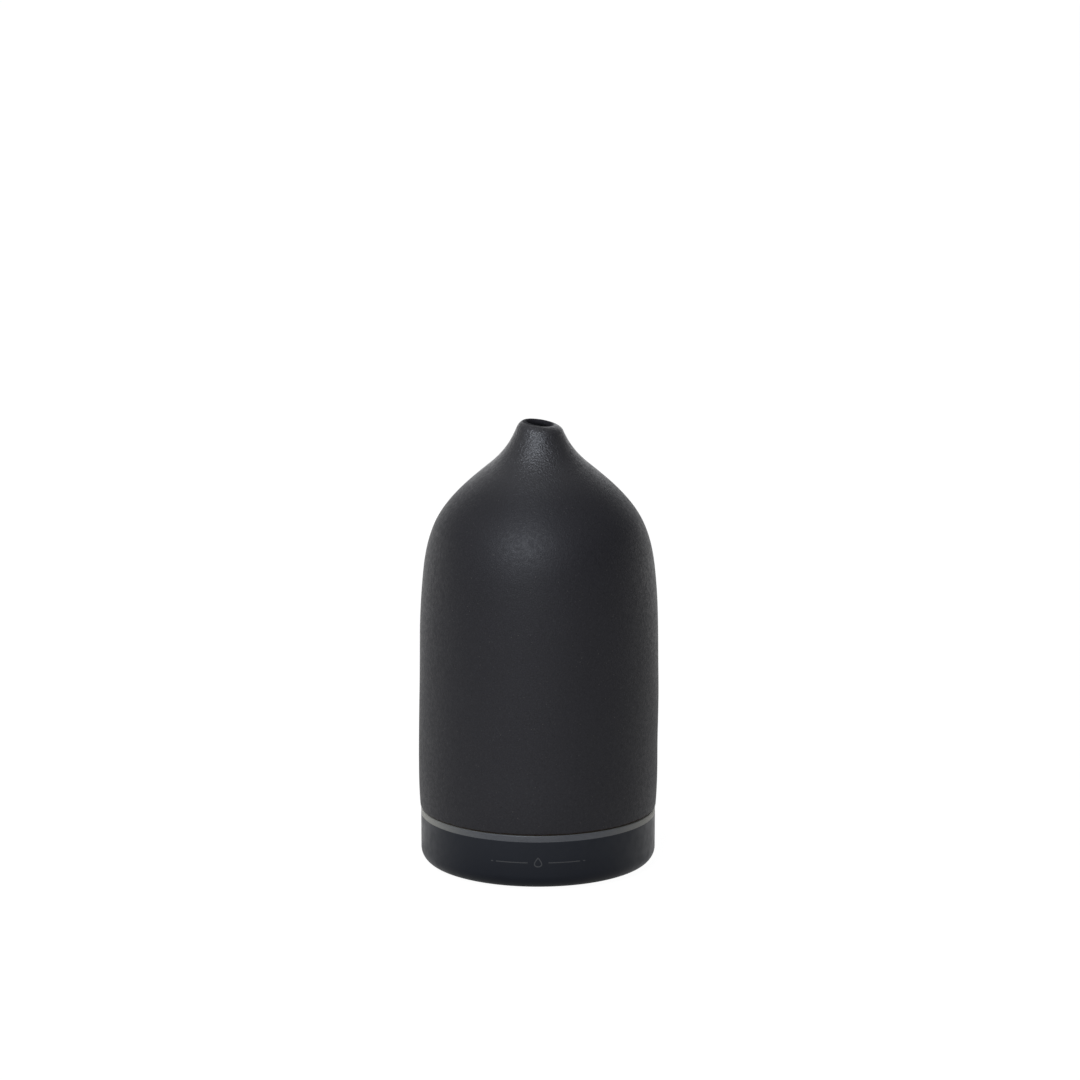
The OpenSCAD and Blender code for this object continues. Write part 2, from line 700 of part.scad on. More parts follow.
ceramic_cover();
tank_lid();
water_tank();
light_ring();
base_shell();
rubber_feet();
case_screws();
mist_button();
light_button();
mist_switch();
light_switch();
mist_switch_plunger();
light_switch_plunger();
main_board();
board_screws();
dc_jack();
dc_jack_contacts();
driver_inductor();
drive_transistor();
heat_sink();
transistor_screw();
smoothing_capacitor();
controller_chip();
chip_parts();
board_connectors();
led_board();
ring_leds();
led_leads();
transducer_disc();
transducer_seal();
transducer_clamp();
clamp_screws();
transducer_leads();
fan_frame();
fan_bearing();
fan_stator();
fan_impeller();
fan_magnet();
fan_shaft();
fan_screws();
fan_leads();
air_duct();
duct_seal();
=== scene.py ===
import math

import bmesh
import bpy
from mathutils import Matrix, Vector, noise


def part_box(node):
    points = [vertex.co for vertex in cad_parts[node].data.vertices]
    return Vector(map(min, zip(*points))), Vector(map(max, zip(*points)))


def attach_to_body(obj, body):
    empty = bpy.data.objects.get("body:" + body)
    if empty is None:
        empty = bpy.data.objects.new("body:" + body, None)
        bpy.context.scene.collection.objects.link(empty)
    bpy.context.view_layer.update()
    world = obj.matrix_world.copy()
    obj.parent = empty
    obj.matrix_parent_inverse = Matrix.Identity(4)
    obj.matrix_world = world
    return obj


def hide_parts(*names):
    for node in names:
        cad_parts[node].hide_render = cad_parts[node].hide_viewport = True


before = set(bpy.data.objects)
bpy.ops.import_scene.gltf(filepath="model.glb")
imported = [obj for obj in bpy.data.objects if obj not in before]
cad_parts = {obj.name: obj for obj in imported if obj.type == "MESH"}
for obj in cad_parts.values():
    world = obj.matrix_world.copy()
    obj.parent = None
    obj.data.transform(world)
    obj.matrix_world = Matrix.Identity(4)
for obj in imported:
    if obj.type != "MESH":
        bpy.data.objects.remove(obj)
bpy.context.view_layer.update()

MM = 0.001
TAU = 2 * math.pi

# -------- sizes in mm, the main ones read from the CAD parts


def lowest(node):
    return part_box(node)[0] / MM


def highest(node):
    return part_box(node)[1] / MM


BASE_R, BASE_Z0, BASE_TOP = highest("base_shell").x, lowest("base_shell").z, highest("base_shell").z
BASE_WALL = 2.2
BASE_IN, FLOOR_Z = BASE_R - BASE_WALL, BASE_Z0 + BASE_WALL
RING_Z0, COVER_Z = lowest("light_ring").z, highest("light_ring").z
RING_IN = BASE_R - 4.9
AXIS_Z = 11.0  # height of the buttons and of the power socket
BUTTON_R, MIST_ANGLE, LIGHT_ANGLE, SOCKET_ANGLE = 3.8, 60, 120, 90
QUARTERS, CORNERS = (0, 90, 180, 270), (45, 135, 225, 315)
CASE_RING, FOOT_RING = 33.5, 32.6  # case screws stand at the corners, feet at the quarters
CLAMP_RING, CLAMP_ANGLES = 17.6, (30, 150, 270)
FAN_Y, FAN_HOLE = -14.0, 14.5
FAN_HOLES = [(x * FAN_HOLE, FAN_Y + y * FAN_HOLE) for x in (-1, 1) for y in (-1, 1)]
BOARD_TOP, BOARD_POSTS = 6.4, ((-8, 9.5), (8, 9.5), (-11.5, 33), (11.5, 33))

# -------- geometry, as (points in mm, faces)


def join(*parts):
    points, faces = [], []
    for p, f in parts:
        start = len(points)
        points += list(p)
        faces += [tuple(i + start for i in face) for face in f]
    return points, faces


def place(part, matrix):
    return [matrix @ Vector(p) for p in part[0]], part[1]


def shift(part, x=0, y=0, z=0):
    return place(part, Matrix.Translation((x, y, z)))


def spin(part, degrees, axis="Z"):
    return place(part, Matrix.Rotation(math.radians(degrees), 4, axis))


def at_angles(part, angles, r=0.0):
    return join(*[spin(shift(part, x=r), a) for a in angles])


def at_spots(part, spots, z=0.0):
    return join(*[shift(part, x, y, z) for x, y in spots])


def fractions(n):
    """1/n, 2/n and so on, up to but not including 1."""
    return [k / n for k in range(1, n)]


def arc(x, y, a, b, start, end, steps, skip=0):
    """Points on an ellipse with half-axes a and b, from one angle to another."""
    turns = [start + (end - start) * k / steps for k in range(skip, steps + 1)]
    return [(x + a * math.cos(t), y + b * math.sin(t)) for t in turns]


def circle(r, steps):
    return arc(0, 0, r, r, 0, TAU, steps)[:-1]


def rounded(corners, steps=6):
    """A closed outline through corners (x, y, radius), each turned with its radius."""
    out = []
    for i, (x, y, radius) in enumerate(corners):
        if radius <= 0:
            out.append((x, y))
            continue
        p = Vector((x, y))
        a = (Vector(corners[i - 1][:2]) - p).normalized()
        b = (Vector(corners[(i + 1) % len(corners)][:2]) - p).normalized()
        half = a.angle(b) / 2
        centre = p + (a + b).normalized() * (radius / math.sin(half))
        s = p + a * (radius / math.tan(half)) - centre
        e = p + b * (radius / math.tan(half)) - centre
        a0 = math.atan2(s.y, s.x)
        sweep = (math.atan2(e.y, e.x) - a0 + math.pi) % TAU - math.pi
        out += arc(centre.x, centre.y, radius, radius, a0, a0 + sweep, steps)
    return out


def lathe(outline, seg):
    """A closed outline of (radius, height) turned round Z. Radius 0 is a point on the axis."""
    points, rings, faces = [], [], []
    for r, z in outline:
        n = 1 if r < 1e-6 else seg
        rings.append(list(range(len(points), len(points) + n)))
        points += [(x, y, z) for x, y in circle(r, n)]
    for i, a in enumerate(rings):
        b = rings[(i + 1) % len(rings)]
        if len(a) == 1 and len(b) == 1:
            continue
        for k in range(seg):
            m = (k + 1) % seg
            if len(a) == 1:
                faces.append((a[0], b[k], b[m]))
            elif len(b) == 1:
                faces.append((a[k], b[0], a[m]))
            else:
                faces.append((a[k], b[k], b[m], a[m]))
    return points, faces


def skin(loops, closed=False):
    """A solid through equal loops of points, either with two ends or closed on itself."""
    n, count, faces = len(loops[0]), len(loops), []
    for i in range(count if closed else count - 1):
        j = (i + 1) % count
        for k in range(n):
            m = (k + 1) % n
            faces.append((i * n + k, i * n + m, j * n + m, j * n + k))
    if not closed:
        faces += [tuple(range(n - 1, -1, -1)), tuple(range(count * n - n, count * n))]
    return [p for loop in loops for p in loop], faces


def prism(layers):
    """A solid through a stack of flat loops, each (points in x and y, z)."""
    return skin([[(x, y, z) for x, y in loop] for loop, z in layers])


def stadium(length, width, steps=10):
    """The outline of a bar with round ends, along X."""
    r = width / 2
    end = arc((length - width) / 2, 0, r, r, -math.pi / 2, math.pi / 2, steps)
    return end + [(-x, -y) for x, y in end]


def soft_rect(w, d, radius, steps=4):
    """The outline of a rectangle with round corners."""
    x, y = w / 2, d / 2
    return rounded([(-x, -y, radius), (x, -y, radius), (x, y, radius), (-x, y, radius)], steps)


def soft_block(w, d, h, corner, edge, steps=3):
    """A block with round corners and softened upper and lower edges, standing on z = 0."""
    layers = []
    for up in (0, 1):
        for k in range(steps + 1):
            t = math.pi / 2 * (k / steps if up else 1 - k / steps)
            inset = edge * (1 - math.cos(t))
            z = h - edge + edge * math.sin(t) if up else edge - edge * math.sin(t)
            layers.append((soft_rect(w - 2 * inset, d - 2 * inset, max(corner - inset, 0.02)), z))
    return prism(layers)


def disc(r, z0, z1, edge=0.0, seg=48, hole=0):
    """A disc with softened edges; hole is the radius of a hole in its middle."""
    inner = edge if hole else 0
    return lathe(rounded([(hole, z0, inner), (r, z0, edge), (r, z1, edge), (hole, z1, inner)], 4), seg)


def add_object(name, data):
    """Puts a new object in the scene."""
    obj = bpy.data.objects.new(name, data)
    bpy.context.scene.collection.objects.link(obj)
    return obj


def to_object(name, part):
    mesh = bpy.data.meshes.new(name)
    mesh.from_pydata([Vector(p) * MM for p in part[0]], [], part[1])
    bm = bmesh.new()
    bm.from_mesh(mesh)
    bmesh.ops.remove_doubles(bm, verts=bm.verts, dist=1e-7)
    bmesh.ops.recalc_face_normals(bm, faces=bm.faces)
    bm.to_mesh(mesh)
    bm.free()
    return add_object(name, mesh)


def boolean(part, other, operation):
    a, b = to_object("work_a", part), to_object("work_b", other)
    m = a.modifiers.new("work", "BOOLEAN")
    m.operation, m.object, m.solver = operation, b, "EXACT"
    dg = bpy.context.evaluated_depsgraph_get()
    mesh = bpy.data.meshes.new_from_object(a.evaluated_get(dg), depsgraph=dg)
    out = [v.co / MM for v in mesh.vertices], [tuple(p.vertices) for p in mesh.polygons]
    for o in (a, b):
        bpy.data.objects.remove(o)
    return out


def smooth(mesh, sharp):
    mesh.polygons.foreach_set("use_smooth", [True] * len(mesh.polygons))
    mesh.set_sharp_from_angle(angle=math.radians(sharp))


def attach(obj, mat, node, body, replaces):
    obj.data.materials.append(mat)
    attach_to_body(obj, body)
    if replaces:
        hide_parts(node)


def piece(name, part, mat, node, body="base", replaces=True, sharp=32):
    """Builds a piece in place of a CAD node or, with replaces False, as an addition to it."""
    obj = to_object(name, part)
    smooth(obj.data, sharp)
    attach(obj, mat, node, body, replaces)


def cable(name, paths, radius, mat, node):
    """Round wires through points in mm, with smooth bends."""
    bend = 0.22  # length of a bend's handle, in parts of the shorter stretch beside it
    curve = bpy.data.curves.new(name, "CURVE")
    curve.dimensions, curve.bevel_depth, curve.bevel_resolution = "3D", radius * MM, 5
    curve.use_fill_caps, curve.resolution_u = True, 10
    for path in paths:
        spline = curve.splines.new("BEZIER")
        spline.bezier_points.add(len(path) - 1)
        for i, (bp, p) in enumerate(zip(spline.bezier_points, path)):
            p = Vector(p)
            before = Vector(path[max(i - 1, 0)])
            after = Vector(path[min(i + 1, len(path) - 1)])
            along = (after - before).normalized()
            reach = bend * min(d.length for d in (p - before, after - p) if d.length)
            bp.co = p * MM
            bp.handle_left_type = bp.handle_right_type = "FREE"
            bp.handle_left = (p - along * reach) * MM
            bp.handle_right = (p + along * reach) * MM
    attach(add_object(name, curve), mat, node, "base", True)


# -------- materials


class Shader:
    """Short hands for building a node material, in the object's own metres, or the world's nodes."""

    def __init__(self, name, world=False):
        self.made = (bpy.data.worlds if world else bpy.data.materials).new(name)
        self.made.use_nodes = True
        self.tree = self.made.node_tree
        self.tree.nodes.clear()
        out = self.add("OutputWorld" if world else "OutputMaterial")
        self.main = self.add("Background" if world else "BsdfPrincipled")
        self.link(self.main.outputs[0], out.inputs["Surface"])
        self.place = self.add("TexCoord").outputs["Generated" if world else "Object"]

    def add(self, kind, **values):
        node = self.tree.nodes.new("ShaderNode" + kind)
        for key, value in values.items():
            setattr(node, key, value)
        return node

    def link(self, a, b):
        self.tree.links.new(a, b)

    def put(self, socket, value):
        """Sets a socket to a number or colour, or links another socket to it."""
        if isinstance(value, bpy.types.NodeSocket):
            self.link(value, socket)
        else:
            socket.default_value = value

    def fill(self, node, **values):
        """Puts values in a node's inputs, whose names are written with _ for a space."""
        for key, value in values.items():
            name = key.replace("_", " ")
            if "Color" in name and not isinstance(value, bpy.types.NodeSocket):
                value = (*value, 1)
            self.put(node.inputs[name], value)

    def math(self, operation, a, b):
        node = self.add("Math", operation=operation)
        self.put(node.inputs[0], a)
        self.put(node.inputs[1], b)
        return node.outputs[0]

    def plus(self, a, b):
        return self.math("ADD", a, b)

    def times(self, a, b):
        return self.math("MULTIPLY", a, b)

    def noise(self, size_mm, detail=2.0, rough=0.5, stretch=None):
        node = self.add("TexNoise")
        self.fill(node, Scale=1 / (size_mm * MM), Detail=detail, Roughness=rough)
        place = self.place
        if stretch:
            mapping = self.add("Mapping")
            mapping.inputs["Scale"].default_value = stretch
            self.link(place, mapping.inputs["Vector"])
            place = mapping.outputs[0]
        self.link(place, node.inputs["Vector"])
        return node.outputs[0]

    def cells(self, size_mm, feature="F1"):
        node = self.add("TexVoronoi", feature=feature)
        self.fill(node, Scale=1 / (size_mm * MM), Vector=self.place)
        return node.outputs["Distance"]

    def steps(self, value, low, high, out_low=0.0, out_high=1.0):
        node = self.add("MapRange", interpolation_type="SMOOTHSTEP")
        self.fill(node, Value=value, From_Min=low, From_Max=high, To_Min=out_low, To_Max=out_high)
        return node.outputs["Result"]

    def mix(self, factor, a, b):
        node = self.add("Mix", data_type="RGBA")
        self.put(node.inputs["Factor"], factor)
        for socket, value in ((node.inputs["A"], a), (node.inputs["B"], b)):
            self.put(socket, value if isinstance(value, bpy.types.NodeSocket) else (*value, 1))
        return node.outputs["Result"]

    def axis(self, which):
        node = self.add("SeparateXYZ")
        self.link(self.place, node.inputs[0])
        return node.outputs[which]

    def radius(self):
        """Distance from the object's Z axis."""
        flat = self.add("VectorMath", operation="MULTIPLY")
        flat.inputs[1].default_value = (1, 1, 0)
        self.link(self.place, flat.inputs[0])
        length = self.add("VectorMath", operation="LENGTH")
        self.link(flat.outputs[0], length.inputs[0])
        return length.outputs["Value"]

    def bump(self, *heights):
        """Adds bumps from pairs of (height socket, depth in mm)."""
        normal = None
        for height, depth in heights:
            node = self.add("Bump")
            self.fill(node, Distance=depth * MM, Height=height)
            if normal is not None:
                self.link(normal, node.inputs["Normal"])
            normal = node.outputs[0]
        self.link(normal, self.main.inputs["Normal"])

    def set(self, **values):
        self.fill(self.main, **values)


def shade(rgb, k):
    return tuple(min(1.0, c * k) for c in rgb)


def moulded(name, rgb, rough=0.45, vary=0.12, grain=0.3, depth=0.006, metal=0.0, **more):
    """Moulded plastic, rubber or cast metal: faint flow variation, a fine grain and uneven sheen."""
    s = Shader(name)
    flow = s.noise(9, 3)
    fine = s.noise(grain, 2, 0.6)
    colour = s.mix(flow, shade(rgb, 1 - vary), shade(rgb, 1 + vary))
    colour = s.mix(s.steps(fine, 0.55, 0.8, 0, 0.5), colour, shade(rgb, 1 + 2.2 * vary))
    level = s.steps(s.noise(3.5, 3), 0.3, 0.7, rough - 0.05, rough + 0.06)
    s.set(Base_Color=colour, Roughness=level, Metallic=metal, **more)
    s.bump((s.noise(14, 1), depth * 3), (fine, depth))
    return s.made


def stoneware():
    """Matt black glaze on stoneware: fine sandy grain, sparse pale specks, a smoother neck."""
    s = Shader("stoneware")
    broad = s.noise(26, 3)
    grain = s.noise(0.55, 3, 0.62)
    sand = s.noise(1.5, 2, 0.6)
    colour = s.mix(broad, (0.013, 0.0124, 0.0164), (0.018, 0.0172, 0.0218))
    colour = s.mix(s.steps(grain, 0.52, 0.74, 0, 0.7), colour, (0.034, 0.034, 0.038))
    colour = s.mix(s.steps(grain, 0.46, 0.28, 0, 0.7), colour, (0.004, 0.004, 0.005))
    speck = s.steps(s.cells(1.7), 0.13, 0.07)
    chosen = s.steps(s.noise(5, 1), 0.52, 0.6)
    colour = s.mix(s.times(speck, chosen), colour, (0.075, 0.07, 0.066))
    height = s.axis("Z")
    # the foot is bare clay, where the glaze was wiped off; its clay colour is also darkened as painted shade,
    # for the shadow in the gap above the light ring
    edge = s.plus(s.times(s.noise(3, 2), 0.0011), COVER_Z * MM + 0.0002)
    bare_foot_and_gap_shade = s.math("LESS_THAN", height, edge)
    colour = s.mix(bare_foot_and_gap_shade, colour, (0.034, 0.025, 0.019))
    # the outside of the neck is smoother, where the glaze lies thick; the inside is dull
    outside = s.steps(s.radius(), 0.0056, 0.0066)
    neck = s.times(s.steps(height, 0.144, 0.166), outside)
    dull = s.times(s.steps(height, 0.15, 0.16), s.math("SUBTRACT", 1.0, outside))
    rough = s.plus(0.52, s.steps(sand, 0.3, 0.7, -0.06, 0.06))
    rough = s.math("SUBTRACT", rough, s.times(neck, 0.18))
    rough = s.plus(rough, s.times(dull, 0.35))
    s.set(Base_Color=colour, Roughness=rough,
          Specular_IOR_Level=s.math("SUBTRACT", s.steps(neck, 0.0, 1.0, 0.5, 1.0), s.times(bare_foot_and_gap_shade, 0.4)))
    pebble = s.cells(0.7, "SMOOTH_F1")
    s.bump((s.noise(11, 2), 0.1), (sand, 0.07), (grain, 0.11), (s.times(grain, neck), 0.12),
           (s.times(pebble, neck), 0.15))
    return s.made


def frosted():
    """Frosted translucent plastic of the light ring."""
    s = Shader("frosted_plastic")
    cloud = s.noise(6, 3)
    fine = s.noise(0.35, 2)
    colour = s.mix(cloud, (0.088, 0.092, 0.101), (0.112, 0.116, 0.125))
    colour = s.mix(s.steps(fine, 0.5, 0.8, 0, 0.4), colour, (0.15, 0.153, 0.16))
    # painted highlight: seen along its surface it is painted paler and less blue, for the bright reflection
    # at the ring's grazing ends
    graze_painted_highlight = s.add("LayerWeight").outputs["Facing"]
    colour = s.mix(s.steps(graze_painted_highlight, 0.05, 0.9, 0, 0.9), colour, (0.4, 0.39, 0.34))
    s.set(Base_Color=colour, Roughness=s.steps(fine, 0.3, 0.7, 0.36, 0.48), Subsurface_Weight=0.25,
          Subsurface_Radius=(0.9, 0.95, 1.0), Subsurface_Scale=0.0008, IOR=1.49)
    s.bump((fine, 0.006))
    return s.made


def board_mask(name, rgb, track, copper=0.35):
    """Circuit board: solder mask with raised tracks under it and drilled, tinned vias."""
    s = Shader(name)
    brick = s.add("TexBrick")
    brick.offset, brick.squash = 0.37, 0.8
    s.fill(brick, Vector=s.place, Scale=1 / (4.6 * MM), Mortar_Size=0.055, Mortar_Smooth=0.15,
           Brick_Width=3.1, Row_Height=0.34)
    lines = brick.outputs["Fac"]
    keep = s.steps(s.noise(6, 1), 0.49, 0.52)
    tracks = s.times(lines, keep)
    vias = s.steps(s.cells(3.3), 0.085, 0.065)
    colour = s.mix(s.noise(12, 2), shade(rgb, 0.88), shade(rgb, 1.12))
    colour = s.mix(s.times(tracks, 0.75), colour, track)
    colour = s.mix(vias, colour, (0.55, 0.55, 0.52))
    s.set(Base_Color=colour, Roughness=s.steps(s.noise(2.5, 2), 0.3, 0.7, 0.26, 0.36),
          Metallic=s.times(vias, copper))
    s.bump((tracks, 0.03), (s.noise(0.5, 2), 0.004))
    return s.made


def metal(name, rgb, rough=0.3, stretch=(1, 1, 1), size=0.4, depth=0.003):
    """Plated, drawn or ground metal; stretch sets which way the fine lines run."""
    s = Shader(name)
    lines = s.noise(size, 3, 0.6, stretch)
    stain = s.noise(3, 3)
    colour = s.mix(stain, shade(rgb, 0.82), shade(rgb, 1.08))
    colour = s.mix(s.steps(lines, 0.5, 0.8, 0, 0.45), colour, shade(rgb, 0.62))
    level = s.plus(s.steps(lines, 0.3, 0.7, rough - 0.08, rough + 0.06),
                   s.steps(stain, 0.4, 0.7, 0, 0.08))
    s.set(Base_Color=colour, Roughness=level, Metallic=1.0)
    s.bump((lines, depth))
    return s.made


def foam():
    s = Shader("cell_foam")
    cell = s.cells(0.5)
    s.set(Base_Color=s.mix(s.steps(cell, 0.1, 0.6), (0.012, 0.012, 0.013), (0.05, 0.05, 0.053)),
          Roughness=s.steps(cell, 0.0, 0.6, 0.95, 0.8))
    s.bump((cell, 0.12))
    return s.made


def piezo():
    """A thin brass disc with a fired silver electrode, a little tarnished."""
    s = Shader("piezo_disc")
    electrode = s.steps(s.radius(), 0.0074, 0.0072)
    brass = s.mix(s.noise(2.2, 3), (0.5, 0.36, 0.14), (0.66, 0.5, 0.24))
    silver = s.mix(s.noise(1.2, 3), (0.6, 0.6, 0.57), (0.78, 0.78, 0.75))
    s.set(Base_Color=s.mix(electrode, brass, silver), Metallic=1.0,
          Roughness=s.steps(s.noise(0.8, 2), 0.3, 0.7, 0.25, 0.42))
    s.bump((electrode, 0.03), (s.noise(0.3, 2), 0.004))
    return s.made


def printed(name, rgb):
    """Thin pad-printed ink, a little uneven where it covers the grain."""
    s = Shader(name)
    cover = s.noise(0.25, 2, 0.6)
    s.set(Base_Color=s.mix(s.steps(cover, 0.35, 0.7), shade(rgb, 0.82), shade(rgb, 1.15)),
          Roughness=s.steps(cover, 0.3, 0.7, 0.5, 0.62))
    s.bump((cover, 0.004))
    return s.made


M_STONE = stoneware()
M_FROST = frosted()
M_BASE = moulded("base_plastic", (0.0036, 0.0064, 0.0136), 0.38, 0.1, 0.34, 0.01)
M_KEY = moulded("key_plastic", (0.016, 0.018, 0.023), 0.38, 0.1, 0.3, 0.004)
M_TANK = moulded("tank_plastic", (0.03, 0.031, 0.034), 0.33, 0.1, 0.4, 0.004)
M_LID = moulded("lid_plastic", (0.024, 0.025, 0.028), 0.36, 0.1, 0.4, 0.005)
M_RUBBER = moulded("foot_rubber", (0.014, 0.014, 0.014), 0.78, 0.16, 0.25, 0.012)
M_BLACK = moulded("black_nylon", (0.016, 0.016, 0.018), 0.42, 0.12, 0.3, 0.005)
M_SOCKET = moulded("socket_plastic", (0.01, 0.01, 0.011), 0.3, 0.1, 0.3, 0.003)
M_NATURAL = moulded("natural_nylon", (0.6, 0.56, 0.47), 0.42, 0.06, 0.3, 0.004)
M_SILICONE = moulded("silicone", (0.42, 0.43, 0.43), 0.45, 0.06, 0.5, 0.004, Subsurface_Weight=0.3,
                     Subsurface_Scale=0.001)
M_FERRITE = moulded("ferrite", (0.022, 0.022, 0.024), 0.62, 0.18, 0.2, 0.01)
M_RESIN = moulded("led_resin", (0.78, 0.62, 0.2), 0.25, 0.06, 0.4, 0.003, Coat_Weight=0.6)
M_LED_CASE = moulded("led_case", (0.74, 0.74, 0.71), 0.4, 0.05, 0.3, 0.003)
M_CERAMIC = moulded("chip_ceramic", (0.21, 0.14, 0.08), 0.45, 0.15, 0.3, 0.004)
M_SLEEVE = moulded("can_sleeve", (0.014, 0.032, 0.085), 0.3, 0.1, 0.4, 0.003)
M_RED = moulded("red_sleeve", (0.34, 0.018, 0.014), 0.38, 0.1, 0.4, 0.004)
M_BLUE = moulded("blue_sleeve", (0.018, 0.07, 0.3), 0.38, 0.1, 0.4, 0.004)
M_INK = printed("grey_ink", (0.066, 0.068, 0.072))
M_KEY_INK = printed("pale_ink", (0.34, 0.35, 0.37))
M_PCB = board_mask("green_board", (0.01, 0.085, 0.03), (0.035, 0.2, 0.075))
M_LED_PCB = board_mask("white_board", (0.68, 0.69, 0.67), (0.8, 0.8, 0.77), 0.6)
M_ZINC = metal("zinc_steel", (0.6, 0.61, 0.63), 0.34)
M_STEEL = metal("ground_steel", (0.66, 0.67, 0.69), 0.22, (1, 1, 0.05))
M_ALU = metal("extruded_aluminium", (0.74, 0.75, 0.77), 0.36, (0.08, 1, 1), 0.25)
M_TIN = metal("tinned_brass", (0.74, 0.74, 0.73), 0.26)
M_BRONZE = metal("sintered_bronze", (0.46, 0.27, 0.1), 0.5, size=0.2, depth=0.006)
M_COPPER = metal("enamelled_copper", (0.52, 0.19, 0.07), 0.28, size=0.6)
M_IRON = metal("stator_iron", (0.32, 0.32, 0.34), 0.42, (0.4, 0.4, 6), 0.5, 0.008)
M_FOAM = foam()
M_PIEZO = piezo()

# -------- ceramic cover

# (height, radius, slope) of the outside, joined by smooth curves
STATIONS = ((COVER_Z, 45.8, 0.09), (53, 46.5, 0.01), (89, 46.3, -0.01), (115, 45.2, -0.09),
            (135, 40.85, -0.43), (149, 30.7, -0.99), (159, 19.55, -1.18), (171, 10.08, -0.47),
            (182, 5.8, -0.3))
COVER_SIZE = 93.25 / 93
WALL, LIP_WALL = 3.8, 2.6
MOUTH_Z, MOUTH_R, MOUTH_ASIDE = 174.85, 4.75, 0.2
MOUTH_TILT, MOUTH_LEAN = math.radians(9.0), math.radians(-5)
LIP_DROP, LIP_RISE, LIP_BEND = 1.5, 1.02, math.radians(31)
THROAT_Z = 172.5  # below this the inside follows the outside
SET_ASIDE = 0.45  # the body above the foot stands this far off the axis, towards +X


def smoothstep(u):
    u = min(1.0, max(0.0, u))
    return u * u * (3 - 2 * u)


def cover_radius(z):
    i = 0
    while i < len(STATIONS) - 2 and z > STATIONS[i + 1][0]:
        i += 1
    (z0, r0, m0), (z1, r1, m1) = STATIONS[i], STATIONS[i + 1]
    h = z1 - z0
    t = (z - z0) / h
    r = ((2 * t**3 - 3 * t**2 + 1) * r0 + (t**3 - 2 * t**2 + t) * h * m0
         + (3 * t**2 - 2 * t**3) * r1 + (t**3 - t**2) * h * m1)
    return r * COVER_SIZE


def inner_point(z):
    slope = (cover_radius(z + 0.05) - cover_radius(z - 0.05)) / 0.1
    wall = WALL + (LIP_WALL - WALL) * max(0.0, min(1.0, (z - 140) / 30))
    k = wall / math.sqrt(1 + slope * slope)
    return cover_radius(z) - k, z + slope * k


def cover_outline(angle):
    """The wall's outline at one angle round the axis, as a closed loop of (radius, height)."""
    foot_out, foot_in, turn_in, turn_down, quarter = 1.2, 0.8, 0.55, 1.2, math.pi / 2
    fall = math.tan(MOUTH_TILT) * math.cos(angle - MOUTH_LEAN)
    mouth = MOUTH_R - MOUTH_ASIDE * math.cos(angle)
    crest = mouth + turn_in
    end, top = MOUTH_Z - LIP_DROP - fall * 3.0, MOUTH_Z + LIP_RISE - fall * crest
    lip_a = (cover_radius(end) - crest) / math.cos(LIP_BEND)
    lip_b = (top - end) / (1 - math.sin(LIP_BEND))
    start = COVER_Z + foot_out
    out = arc(inner_point(COVER_Z)[0] + foot_in, COVER_Z + foot_in, foot_in, foot_in,
              math.pi, 3 * quarter, 4)
    out += arc(cover_radius(start) - foot_out, start, foot_out, foot_out, -quarter, 0, 6)
    for u in fractions(104):
        z = start + (end - start) * (u * 1.25 - 0.25 * u * u)
        out.append((cover_radius(z), z))
    out.append((cover_radius(end), end))
    out += arc(crest, top - lip_b, lip_a, lip_b, LIP_BEND, quarter, 10, 1)
    out += arc(crest, top - turn_down, turn_in, turn_down, quarter, math.pi, 6, 1)
    throat = inner_point(THROAT_Z)
    for u in (*fractions(6), 1):
        out.append((mouth + (throat[0] - mouth) * smoothstep(u),
                    top - turn_down + (throat[1] - top + turn_down) * u))
    for u in fractions(72):
        out.append(inner_point(THROAT_Z + (COVER_Z + 2 - THROAT_Z) * (u * 0.75 + 0.25 * u * u)))
    return out


def cover_part():
    """The cover, with the faint waviness of a piece finished by hand, but none where it sits."""
    seg, loops = 240, []
    for k in range(seg):
        angle, loop = TAU * k / seg, []
        c, s = math.cos(angle), math.sin(angle)
        for r, z in cover_outline(angle):
            wave = noise.noise(Vector((c * 1.1, s * 1.1, z / 46 + 3.7))) * 0.0045
            wave += noise.noise(Vector((c * 3.1, s * 3.1, z / 15 + 9.1))) * 0.0011
            r *= 1 + wave * min(1.0, max(0.0, (z - COVER_Z - 2) / 30))
            loop.append((r * c + SET_ASIDE * smoothstep((z - COVER_Z - 20) / 34), r * s, z))
        loops.append(loop)
    return skin(loops, closed=True)


piece("stoneware_cover", cover_part(), M_STONE, "ceramic_cover", "cover", sharp=60)

# -------- light ring, base, feet


def ring_part():
    skirt, face = BASE_IN - 0.2, BASE_R - 0.02
    return lathe(rounded([
        (RING_IN, RING_Z0, 0.25), (skirt, RING_Z0, 0.25), (skirt, BASE_TOP, 0),
        (face, BASE_TOP, 0), (face, COVER_Z, 0.5), (RING_IN, COVER_Z, 0.2)], 5), 240)


def wall_cutter(angle, r):
    """A hole through the wall of the base, with a softened outer edge."""
    outline = [(0, -6), (r, -6), (r, -0.45), (r + 0.12, -0.2), (r + 0.4, 0.02), (r + 0.9, 0.3),
               (r + 0.9, 3), (0, 3)]
    return spin(shift(spin(lathe(outline, 72), 90, "Y"), x=BASE_R, z=AXIS_Z), angle)


def stepped_hole(steps, seg):
    """A hole in the underside, from (radius, depth) steps, with a softened edge."""
    r = steps[0][0]
    outline = [(0, -1), (r + 0.25, -1), (r + 0.25, BASE_Z0 - 0.001), (r, BASE_Z0 + 0.25)]
    below = None
    for r, depth in steps:
        if below:
            outline.append((r, below))
        outline.append((r, depth))
        below = depth
    return lathe(outline + [(0, below)], seg)


